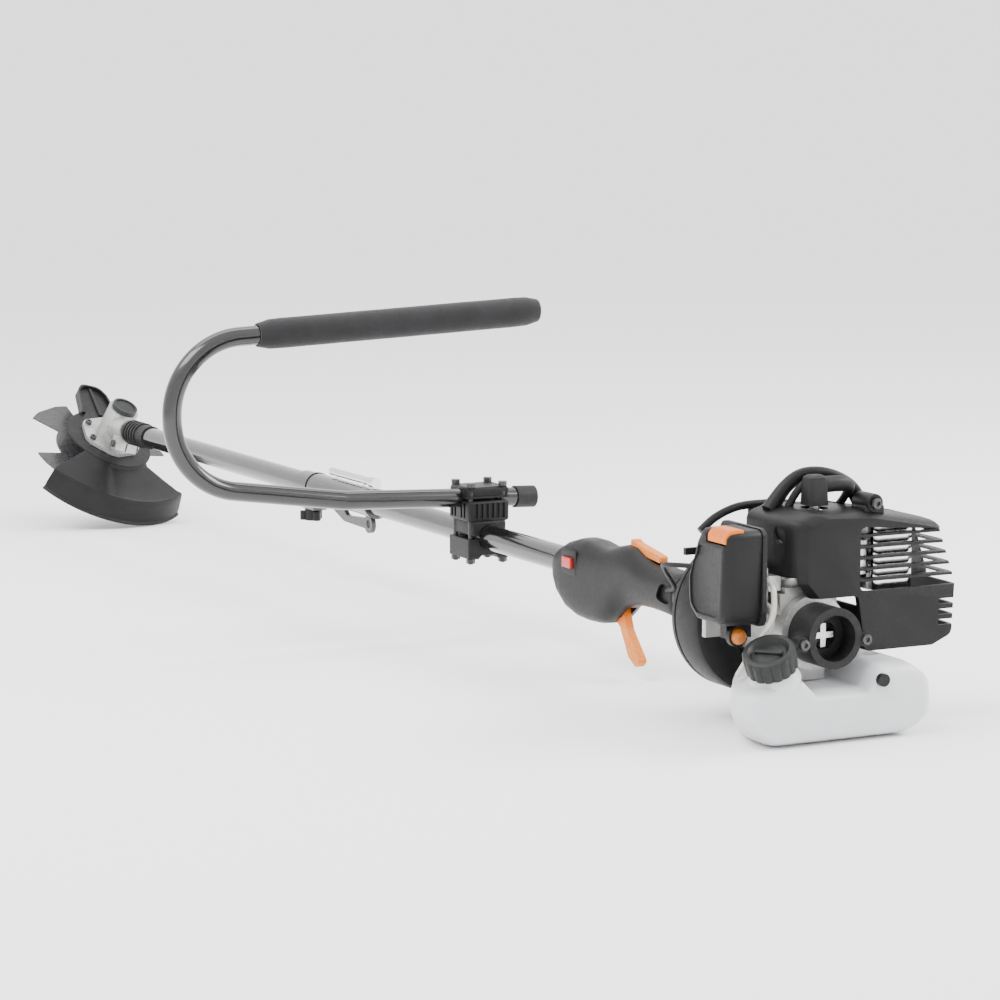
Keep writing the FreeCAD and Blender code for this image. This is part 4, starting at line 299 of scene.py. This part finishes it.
def lathe(name, profile, place, sides=64, flute=None):
    """A turned form about the place's z axis, from (radius, height) pairs; flute adds to the radius."""
    rings = []
    for radius, height in profile:
        ring = []
        for k in range(sides):
            angle = 2 * math.pi * k / sides
            reach = radius + (flute(angle, radius, height) if flute else 0)
            ring.append((reach * math.cos(angle), reach * math.sin(angle), height))
        rings.append(ring)
    return shaped(name, rings, place)


def slab(name, low, high, round_by=0.0, place=LINE):
    """A block between two corners with rounded edges."""
    (x0, y0, z0), (x1, y1, z1) = low, high
    square = [(y, z, SHARP) for y, z in ((y0, z0), (y1, z0), (y1, z1), (y0, z1))]
    item = loft(name, [(x, square) for x in (x0, x1)], "x", place)
    form = bmesh.new()
    form.from_mesh(item.data)
    bmesh.ops.remove_doubles(form, verts=form.verts, dist=WELD)
    form.to_mesh(item.data)
    form.free()
    if round_by:
        soften(item, round_by)
    return item


def settle(item):
    """Bake an object's modifiers into its mesh."""
    bpy.context.view_layer.update()
    mesh = bpy.data.meshes.new_from_object(item.evaluated_get(bpy.context.evaluated_depsgraph_get()))
    item.modifiers.clear()
    item.data = mesh
    return item


def soften(item, width, segments=3, angle=40):
    """Round an object's sharp edges by a width in mm."""
    bevel = item.modifiers.new("soften", "BEVEL")
    bevel.width = width / 1000
    bevel.segments = segments
    bevel.limit_method = "ANGLE"
    bevel.angle_limit = math.radians(angle)
    bevel.use_clamp_overlap = True
    return settle(item)


def carve(item, tools, operation="DIFFERENCE"):
    """Cut, join or intersect solids, and remove the tools."""
    for tool in tools:
        step = item.modifiers.new("carve", "BOOLEAN")
        step.operation = operation
        step.solver = "EXACT"
        step.object = tool
    settle(item)
    for tool in tools:
        bpy.data.objects.remove(tool)
    return item


def join(item, others):
    """Put several closed forms into one object."""
    form = bmesh.new()
    for part in [item] + others:
        form.from_mesh(part.data)
    form.to_mesh(item.data)
    form.free()
    for part in others:
        bpy.data.objects.remove(part)
    return item


def hand_in(item, name, nodes, body="tool", angle=CREASE):
    """Name, dress and attach a detailed piece in place of its plain nodes."""
    item.name = item.data.name = name
    item.data.materials.clear()
    item.data.materials.append(MATERIALS[SLOT_OF[nodes[0]]])
    for face in item.data.polygons:
        face.use_smooth = True
        face.material_index = 0
    item.data.set_sharp_from_angle(angle=math.radians(angle))
    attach(item, body)
    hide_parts(*nodes)
    return item


SHAFT_ROOM = 12.9  # radius, mm, of the bore around the shaft in the grip and the clamp
# stations along the shaft, mm
HANDLE_STATION = 1062
SHELL_FRONT = 1251
FAN_START = 1572.1
COVER_START, COVER_END = 1624.2, 1699.8
COVER_WALL = 2.6
# the tank's front left corner: where it starts and how fast it runs out to the left
TANK_START, CORNER_LEFT, CORNER_SLOPE = 1624, -46.5, 0.554
# the window in the engine cover, mm
GRILLE_LOW, GRILLE_HIGH, GRILLE_LEFT = 33, 88, 40


def cover_outline(inset, left, lower):
    """The engine cover seen from behind, moved in by a wall, with its left side and roof drawn in."""
    return [
        (left + inset, 43 + inset, 4), (left + inset, 96 - lower - inset, 9),
        (left + 20, 102.6 - lower - inset, 16), (52, 100.6 - lower - inset, 40),
        (123.5 - lower * 0.6 - inset, 88 - lower - inset, 7), (139.6 - lower * 0.6 - inset, 38, 12),
        (137 - lower * 0.6 - inset, -10 + inset, 8), (114 - inset, -18.6 + inset, 7),
        (46 + inset, -18.6 + inset, 5), (38.5 + inset, 29.5 + inset, 5),
        (left + 12 + inset, 29.5 + inset, 5),
    ]


def engine_cover():
    """A moulded hood with a barred window wrapping its rear right corner, an arch and a screw boss."""
    def hood(name, inset, start, end):
        rise = [(start, -26.8, 0), (1668, -26.5, 0), (1684, -25, 0.6), (1691, -21.5, 1.6), (1696, -17.5, 3),
                (end, -11.5, 5.6)]
        return loft(name, [(x, cover_outline(inset, left, lower)) for x, left, lower in rise])

    shell = carve(hood("hood", 0, COVER_START, COVER_END),
                  [hood("hood_room", COVER_WALL, COVER_START - 6, 1696.6)])
    opening = [(GRILLE_LEFT, GRILLE_LOW, 6), (160, GRILLE_LOW, 6), (160, GRILLE_HIGH - 6, 4),
               (118, GRILLE_HIGH - 6, 4), (GRILLE_LEFT, GRILLE_HIGH, 6)]
    window = loft("window", [(x, opening) for x in (1652, 1712)])
    skirt_slots = [slab("skirt_slot", (1664, 120, low), (1712, 150, low + 5)) for low in (-2, 7, 16)]
    open_bottom = slab("open_bottom", (COVER_START - 9, 52, -30), (1684, 116, -10))
    open_deck = slab("open_deck", (COVER_START - 9, -40, 20), (1694, 44, 48))
    boot_hole = lathe("boot_hole", [(12, 0), (12, 40)], LINE @ Matrix.Translation((1664, 16, 84)), 40)
    lead_hole = lathe("lead_hole", [(6, 0), (6, 40)], LINE @ Matrix.Translation((1640, 57, 84)), 32)
    recess_turn = LINE @ Matrix.Translation((1676, -30, 82)) @ Matrix.Rotation(math.radians(-78), 4, "X")
    recess = lathe("screw_recess", [(9, -2), (7.5, 5.6)], recess_turn, 40)
    shell = carve(shell, [window, *skirt_slots, open_bottom, open_deck, boot_hole, lead_hole, recess])
    bars = []
    for height in (42, 51.5, 61, 70.5, 80):
        bar = hood("bar", 0.5, 1650, COVER_END - 1.2)
        band = slab("slice", (1640, GRILLE_LEFT - 4, height - 1.1), (1712, 150, height + 1.1))
        room = hood("bar_room", 6.5, 1640, 1690)
        bars.append(carve(carve(bar, [band], "INTERSECT"), [room]))
    bead = [(4, 99, 2), (50, 98, 20), (118, 86, 2), (117, 89.5, 2), (50, 101.5, 20), (4, 102.4, 2)]
    rib = loft("roof_bead", [(x, bead) for x in (1628, 1634)])
    arch = tube("arch", [(1640, -14, 98), (1640, -8, 106), (1641, 2, 118), (1643, 14, 126.5),
                         (1646, 28, 128.5), (1649, 44, 125), (1652, 58, 117), (1654, 66, 106),
                         (1654, 70, 98)],
                [9, 8.4, 7.6, 7.2, 7, 7, 7, 7.4, 8], flat=0.8)
    arch_rib = tube("arch_rib", [(1650, -2, 100), (1652, 4, 112), (1655, 12, 122), (1658, 22, 126)], 3.4)
    boss = lathe("boss", [(3, 0.4), (7.6, 0.4), (8, 1.4), (8, 24), (7.6, 25), (5.2, 25), (5, 21), (1, 21)],
                 facing_back(1666, 60, 106), 40)
    strut = slab("boss_strut", (1668, 50, 96), (1690, 70, 104), 1.5)
    hand_in(join(shell, bars + [rib, arch, arch_rib, boss, strut]), "engine_cover_skin", ["engine_cover"])


def filter_outline(inset, slant):
    """The air filter cover seen from the left, its front edge an S."""
    return [
        (1645 + inset, 10.5 + inset, 9), (1632.5 + inset, 20 + inset, 9), (1630.5 + inset, 46, 18),
        (1636 + inset + slant, 60, 10), (1644 + inset + slant, 78, 10),
        (1652 + inset + slant, 91 - inset, 7), (1697.6 - inset, 91 - inset, 8),
        (1694 - inset, 10.5 + inset, 10),
    ]


def filter_cover():
    """A box whose left face carries a recessed panel with an S-shaped front edge."""
    stations = [(-55.4, 0, 0), (-78, 0.2, 0), (-84, 0.6, 0), (-87.6, 2, 1), (-89.4, 4.4, 1.6),
                (-89.9, 6.6, 2)]
    shell = loft("filter_shell", [(y, filter_outline(inset, slant)) for y, inset, slant in stations], "y")
    panel = loft("filter_panel", [(y, [(1648, 17.5, 8), (1639, 25, 8), (1637.5, 46, 16), (1642, 60, 10),
                                       (1649, 68, 8), (1651, 76, 3), (1688, 76, 7), (1685.5, 17.5, 9)])
                                  for y in (-96, -88.2)], "y")
    seat = slab("latch_room", (1663.8, -96, 79.6), (1694.2, -69.8, 96))
    room = loft("filter_room", [(y, [(1648, 15, 6), (1637, 24, 6), (1636, 46, 12), (1641, 60, 10),
                                     (1649, 76, 8), (1656, 78, 6), (1692, 78, 6), (1690, 15, 8)])
                                for y in (-83, -50)], "y")
    shell = carve(shell, [panel, seat, room])
    hand_in(soften(shell, 0.9, 2, 50), "filter_cover_skin", ["filter_cover"], "filter_cover")


def latch():
    """A tab that wraps from the top of the filter cover onto its left face."""
    tab = loft("latch", [(x, [(-89.4 + drop, 80.6 + drop * 0.2, 1.2), (-85.4, 80.6, 1.2), (-84, 87.6, 2),
                              (-70.8, 88.4, 1), (-70.8, 92.6 - drop, 2), (-84.5, 92.8 - drop, 4),
                              (-89.4 + drop, 87, 4)])
                         for x, drop in ((1664.8, 1), (1665.6, 0.2), (1692.6, 0.2), (1693.4, 1))])
    hand_in(tab, "filter_latch_tab", ["cover_latch"], "latch")


def fuel_tank():
    """A blow-moulded bottle: full round corners, a saddle under the port and a filler neck."""
    sections = []
    for x, inset in ((1634.3, 13), (1636.5, 8), (1641, 4), (1649, 1.4), (1662, 0.3), (1690, 0.2), (1708, 0.2),
                     (1722, 0.4), (1731, 2), (1736, 4.6), (1738.8, 8), (1739.8, 12)):
        left = max(CORNER_LEFT - CORNER_SLOPE * (x - TANK_START) + 2 + inset, -93 + inset)
        shoulder = max(left + 4, -89 + inset)
        sections.append((x, [
            (max(-66, left + 8), -86 + inset, 20), (68, -86 + inset, 24), (92.4 - inset, -68, 16),
            (90.6 - inset, -38, 16), (68, -22.6 - inset * 0.8, 15), (36, -22.6 - inset * 0.8, 10),
            (27, -42.4 - inset * 0.5, 8), (-25, -42.4 - inset * 0.5, 8), (-38, -28 - inset * 0.8, 8),
            (max(-62, left + 14), -28.6 - inset * 0.8, 12), (shoulder, -40 - inset * 0.3, 12),
            (left, -60, 16)]))
    body = loft("tank_body", sections)
    joint = JOINTS["fuel_cap_turn"]
    axis = Vector(joint["axis"]).normalized()
    mouth = Matrix.Translation(joint["pos_m"]) @ axis.to_track_quat("Z", "Y").to_matrix().to_4x4() \
        @ Matrix.Scale(0.001, 4)
    neck = lathe("tank_neck", [(12, -33), (22, -33), (20, -27), (16.4, -23), (15.4, -20), (15.4, -9),
                               (13, -9), (13, -30)], mouth, 48)
    hand_in(carve(body, [neck], "UNION"), "fuel_tank_bottle", ["fuel_tank"], angle=50)

    def grip(angle, radius, height):
        rib = abs(math.sin(angle * 8)) ** 0.6
        return -1.3 * (1 - rib) if radius > 20 and height < -3 else 0

    cap = lathe("cap", [(4, -3.6), (9, -3.6), (11, -4.6), (14.5, -4.6), (16, -2.2), (17.4, -0.5),
                        (19.6, -0.5), (21.4, -1.2), (22.6, -3.2), (22.7, -6), (22.4, -12), (21.9, -19),
                        (20.6, -19.6), (18.2, -19.6), (18, -14), (4, -13.8)], mouth, 128, grip)
    bar = slab("cap_bar", (-12, -2.2, -4.4), (12, 2.2, -1.2), 1.0, mouth)
    hand_in(join(cap, [bar]), "fuel_cap_knob", ["fuel_cap"], "cap")


def boot_and_lead():
    """A rubber boot over the plug, its arm to the right and the lead down to the coil."""
    boot = loft("boot", [(z, [(1664 - a, 16 - b, 4), (1664 + a, 16 - b, 4), (1664 + a, 16 + b, 4),
                              (1664 - a, 16 + b, 4)])
                         for z, a, b in ((104.2, 9.4, 9.4), (106, 9.45, 9.45), (112, 9.2, 9.3), (124, 8.6, 9),
                                         (128, 7.8, 8.2), (129.9, 5.4, 6))], "z")
    arm = tube("boot_arm", [(1664, 14, 120.6), (1664, 26, 121), (1664, 40, 121), (1661, 51, 118.6),
                            (1655, 56, 112)], [6.4, 7.2, 6.9, 6.2, 4.6])
    lead = tube("lead", [(1664, 40, 121), (1658, 54, 117), (1640, 57, 100), (1622, 46, 80), (1616, 22, 56),
                         (1600.5, 6, 55)], 3.5)
    hand_in(join(boot, [arm, lead]), "plug_boot", ["ignition_lead"])


def throttle_handle():
    """Two shells: a bulb ahead with a flat panel for the switch, and a slim grip behind."""
    shape = (  # station, top, bottom, half width, fullness
        (1251.3, 8, -19, 15, 3.0), (1254, 12, -24, 18.5, 3.0), (1262, 17, -34, 20.6, 3.0),
        (1276, 23, -43, 20.9, 3.4), (1295, 28, -48, 20.9, 3.4), (1315, 28, -49, 20.6, 3.4),
        (1335, 25.5, -48, 20, 3.4), (1352, 26, -45, 19.6, 3.4), (1366, 30, -37, 19.2, 2.8),
        (1380, 33, -27, 18.8, 2.4), (1396, 32.5, -22, 18.4, 2.4), (1412, 26, -20.5, 18.2, 2.3),
        (1430, 22.5, -20, 18.2, 2.3), (1455, 20.5, -20.5, 18.6, 2.4), (1475, 20.5, -21.5, 19, 2.6),
        (1481, 20, -21, 18.6, 2.6), (1483.7, 18.5, -19.5, 17, 2.6),
    )
    for name, side, node in (("grip_left", -1, "grip_shell_left"), ("grip_right", 1, "grip_shell_right")):
        seam = 0.15
        rings = []
        for x, top, bottom, wide, full in shape:
            ring = []
            for k in range(37):
                angle = math.pi * k / 36
                y, z = math.sin(angle), math.cos(angle)
                middle, half = (top + bottom) / 2, (top - bottom) / 2
                ring.append((x, side * (seam + (wide - seam) * abs(y) ** (2 / full)),
                             middle + half * math.copysign(abs(z) ** (2 / full), z)))
            rings.append(ring)
        half = shaped(name, rings)
        tools = [
            lathe("tube_room", [(SHAFT_ROOM, 0), (SHAFT_ROOM, 260)],
                  facing_back(SHELL_FRONT - 11, 0, 0), 48),
            slab("trigger_room", (1343, -4.6, -60), (1382, 4.6, -15)),
            slab("lockout_room", (1375, -4.6, 15), (1442, 4.6, 50)),
        ]
        if side < 0:
            tools.append(slab("switch_room", (1282, -30, -0.5), (1300, -14.6, 10.5)))
            tools.append(loft("cable_window", [(y, [(1452, -6, 6), (1478, -9, 8), (1481, 8, 6),
                                                    (1462, 10, 8)]) for y in (-26, -14.4)], "y"))
        half = carve(half, tools)
        if side < 0:
            rim = loft("switch_frame", [(y, [(1277, -7, 3), (1306, -7, 3), (1306, 17, 3), (1277, 17, 3)])
                                         for y in (-20.9, -19)], "y")
            hole = slab("switch_hole", (1282, -30, -0.5), (1300, -10, 10.5))
            half = join(half, [carve(soften(rim, 0.6), [hole])])
        hand_in(half, name, [node])


def foam_grip():
    """A thick foam sleeve on the handle's upper run, a little uneven, with rounded ends."""
    top_y, top_z, loop_y, loop_z = 58, 224.7, -331, 208
    start_y, length = -241.6, 305.2
    thick = 14.9
    slope = (top_z - loop_z) / (top_y - loop_y)
    spots = []
    for share in range(25):
        y = start_y + length * share / 24
        spots.append((y, top_z - (top_y - y) * slope))
    rings = []
    ends = {0: 11.6, 1: 14.6, 23: 14.6, 24: 11.6}
    for index, (y, z) in enumerate(spots):
        ring = []
        for k in range(32):
            angle = 2 * math.pi * k / 32
            swell = 0.25 * noise.noise(Vector((y * 0.03, math.cos(angle), math.sin(angle))))
            reach = ends.get(index, thick) + swell
            ring.append((HANDLE_STATION + reach * math.cos(angle), y, z + reach * math.sin(angle)))
        rings.append(ring)
    rings = [rings[0]] + [
        [tuple(a + (b - a) * 0.06 for a, b in zip(p, q))
         for p, q in zip(rings[0], rings[1])]] + rings[1:]
    sleeve = shaped("foam", rings)
    bore = tube("bore", [(HANDLE_STATION, y, z) for y, z in (spots[0], spots[12], spots[-1])], 9.8, 32)
    past_the_end = 0.004
    for vert in bore.data.vertices:
        vert.co.y -= past_the_end
    sleeve = carve(sleeve, [bore])
    hand_in(sleeve, "foam_sleeve", ["foam_grip"])


def fan_housing():
    """A closed drum behind the cone, with a tall rim bar carried on short ribs."""
    turn = facing_back(FAN_START, 0, 0)
    drum = lathe("drum", [(14.5, 0), (60, 0), (66.6, 1.5), (66.9, 4), (66.9, 33), (65.5, 36.6), (61, 38.6),
                          (50, 39.4), (34, 39.4), (33, 36), (54, 33), (62, 30), (62.5, 5), (14.5, 3)],
                 turn, 96)
    bars = [tube("rim", [(1605, -61, 79), (1605, -46, 90), (1605, -25, 97.5), (1605, 0, 99), (1605, 25, 97.5),
                         (1605, 46, 90), (1605, 61, 79)], 3.6, 16)]
    for lean in (-34, 6, 34):
        way = Vector((0, math.sin(math.radians(-lean)), math.cos(math.radians(lean))))
        start, end = way * 62, way * 97
        bars.append(tube("rim_rib", [(1605, start.y, start.z), (1605, end.y, end.z)], [5, 3.4], 12))
    hand_in(join(drum, bars), "fan_drum", ["fan_housing"])


def blade_guard():
    """A flared skirt with a lip at the rear, a flat hub and a rimmed lobe to the front."""
    top = -19.3
    start_angle, sweep = -46.9, 99.8
    wall = [(48, -3), (48, 0), (57, -0.4), (61, -3), (88, -7), (111, -9.8), (117, -11), (119.2, -13.4),
            (120.6, -19), (123.6, -32), (124.4, -38.6), (126.8, -41), (126.8, -42.6), (120.8, -42.6),
            (120.4, -32), (116.6, -17), (109, -13.6), (60, -7)]
    rings = []
    for step in range(61):
        angle = math.radians(start_angle + sweep * step / 60)
        fold = min(max((math.degrees(angle) + 12) / 9, 0), 1)
        fold = 2.2 * fold * fold * (3 - 2 * fold)
        ring = []
        for reach, drop in wall:
            dip = fold if 60 < reach < 112 else 0
            ring.append((reach * math.cos(angle), reach * math.sin(angle), top + drop - dip))
        rings.append(ring)
    skirt = shaped("skirt", rings, HEAD)
    centre = HEAD @ Matrix.Translation((0, 0, top))
    hub = lathe("hub", [(21.2, -3), (57.4, -3), (57.9, -2.4), (57.9, -0.6), (57.2, -0.1), (21.2, -0.1)],
                centre, 72)
    hole = lathe("hub_hole", [(21.2, -9), (21.2, 9)], centre, 48)
    turn = centre @ Matrix.Rotation(math.radians(184), 4, "Z")

    def lobe(name, inset, low, high):
        return loft(name, [(z, [(47, -29 + inset, 2), (66, -25 + inset, 14), (100, -21 + inset, 16),
                                (115.4 - inset, -13 + inset, 14), (115.4 - inset, 13 - inset, 14),
                                (100, 21 - inset, 16), (66, 25 - inset, 14), (47, 29 - inset, 2)])
                           for z in (low, high)], "z", turn)

    plate = carve(lobe("lobe", 0, -7.6, 3.8), [lobe("lobe_top", 3, -0.2, 9), lobe("lobe_under", 3, -15, -3)])
    spine = loft("lobe_rib", [(x, [(-3, -1, 0.4), (-2, 2.2, 1), (2, 2.2, 1), (3, -1, 0.4)])
                              for x in (50, 110)], "x", turn)
    hub = carve(hub, [hole])
    hand_in(join(skirt, [hub, plate, spine]), "guard_shell", ["blade_guard"])


def handle_clamp():
    """A ribbed saddle between a base under the shaft and a bent cap over the handle's bar."""
    def bores():
        return [
            lathe("shaft_bore", [(SHAFT_ROOM, 0), (SHAFT_ROOM, 120)],
                  facing_back(HANDLE_STATION - 60, 0, 0), 64),
            tube("bar_bore", [(HANDLE_STATION, 70, 35.01), (HANDLE_STATION, -40, 39.5)], 9.75, 48),
        ]

    cap = loft("cap", [(y, [(1041.2, 39.4, 0.6), (1041.2, 49 - drop, 1.6), (1043.4, 51 - drop, 1.6),
                            (1080.6, 51 - drop, 1.6), (1082.8, 49 - drop, 1.6), (1082.8, 39.4, 0.6)])
                       for y, drop in ((-23.8, 1.4), (-22.4, 0.1), (20.4, 0.1), (21.8, 1.4))], "y")
    steps = [slab("cap_step", (x0, -30, 41.6), (x0 + 3, 30, 46.2)) for x0 in (1040, 1081)]
    steps.append(slab("cap_end_step", (1036, -26.6, 47), (1088, -22.6, 60)))
    hand_in(carve(cap, bores() + steps), "clamp_top_plate", ["clamp_cap"])
    saddle = slab("saddle", (1039.2, -23.8, 16), (1084.8, 21.8, 37), 2.6)
    lower = slab("saddle_foot", (1039.2, -20.5, 1.2), (1084.8, 18.5, 17), 2.6)
    grooves = [slab("groove", (x0, y, 19.4), (x0 + 3, y + 3.4, 34.6))
               for x0 in (1083.2, 1037.8) for y in (-17, -11, -5, 1, 7, 13)]
    side_grooves = [slab("side_groove", (x, y0, 19.4), (x + 3.6, y0 + 3, 34.6))
                    for x in (1045, 1052, 1066, 1073) for y0 in (-25.2, 20.2)]
    saddle = carve(saddle, [lower], "UNION")
    hand_in(carve(saddle, bores() + grooves + side_grooves), "clamp_saddle_block", ["clamp_saddle"])
    base = loft("base", [(x, [(-23.8 + inset, -1.2, 1), (-23.8 + inset, -21.8 + inset, 2.4),
                              (-12, -21.8 + inset, 2), (-8.5, -17.6, 3), (6.5, -17.6, 3),
                              (10, -21.8 + inset, 2), (21.8 - inset, -21.8 + inset, 2.4),
                              (21.8 - inset, -1.2, 1)])
                         for x, inset in ((1039.2, 1.6), (1040.6, 0), (1083.4, 0), (1084.8, 1.6))])
    hand_in(carve(base, bores()), "clamp_base_block", ["clamp_base"])


blade_guard()
handle_clamp()
fan_housing()
engine_cover()
filter_cover()
latch()
fuel_tank()
boot_and_lead()
throttle_handle()
foam_grip()

# ---------------------------------------------------------------- stage

def studio():
    """A pale floor that curves up into a backdrop far behind, and large soft lights."""
    mesh = bpy.data.meshes.new("studio_floor")
    inner, flat, curve, below, sides = 3.0, 8.0, 6.0, 0.0006, 48
    profile = [(inner, -below), (flat, -below)]
    profile += [(flat + curve * math.sin(math.radians(turn)),
                 curve - (curve + below) * math.cos(math.radians(turn))) for turn in range(10, 91, 10)]
    verts = [(reach * math.cos(2 * math.pi * k / sides), reach * math.sin(2 * math.pi * k / sides), height)
             for reach, height in profile for k in range(sides)]
    faces = [tuple(range(sides))]
    for row in range(len(profile) - 1):
        for k in range(sides):
            a, b = row * sides + k, row * sides + (k + 1) % sides
            faces.append((a, a + sides, b + sides, b))
    mesh.from_pydata(verts, [], faces)
    for face in mesh.polygons:
        face.use_smooth = len(face.vertices) == 4
    floor = bpy.data.objects.new("studio_floor", mesh)
    bpy.context.scene.collection.objects.link(floor)
    material = bpy.data.materials.new("studio_floor")
    material.use_nodes = True
    shader = material.node_tree.nodes["Principled BSDF"]
    shader.inputs["Base Color"].default_value = (0.97, 0.97, 0.97, 1)
    shader.inputs["Roughness"].default_value = 0.9
    shader.inputs["Specular IOR Level"].default_value = 0.1
    mesh.materials.append(material)
    world = bpy.data.worlds.new("studio")
    world.use_nodes = True
    world.node_tree.nodes["Background"].inputs["Color"].default_value = (1, 1, 1, 1)
    world.node_tree.nodes["Background"].inputs["Strength"].default_value = 2.1
    bpy.context.scene.world = world
    middle = LINE @ Vector((900, 0, 0))
    for name, offset, power, spread in (  # offset and size in metres, power in watts
        ("key", Vector((0.6, -1.9, 2.6)), 90, (2.6, 1.2)),
        ("rim", Vector((1.2, 2.2, 1.7)), 80, (2.4, 0.8)),
        ("top", Vector((-0.6, 0.1, 3.0)), 40, (3.2, 1.0)),
    ):
        data = bpy.data.lights.new(name, "AREA")
        data.shape = "RECTANGLE"
        data.size, data.size_y = spread
        data.energy = power
        lamp = bpy.data.objects.new(name, data)
        lamp.location = middle + offset
        lamp.rotation_euler = (-offset).to_track_quat("-Z", "Y").to_euler()
        bpy.context.scene.collection.objects.link(lamp)


def camera():
    """The viewer stands behind the engine, to its left and a little above."""
    place = Vector((3979.8, -1457.5, 485.4))
    back = Vector((0.8834, -0.4482, 0.1368)).normalized()
    right = Vector((0.4524, 0.8918, 0.0)).normalized()
    up = back.cross(right)
    turn = LINE.to_3x3().normalized() @ Matrix((right, up, back)).transposed()
    data = bpy.data.cameras.new("camera")
    data.sensor_width = 36
    data.lens = 117.17
    data.clip_start, data.clip_end = 0.05, 60
    eye = bpy.data.objects.new("camera", data)
    eye.matrix_world = Matrix.Translation(LINE @ place) @ turn.to_4x4()
    bpy.context.scene.collection.objects.link(eye)
    bpy.context.scene.camera = eye


studio()
camera()
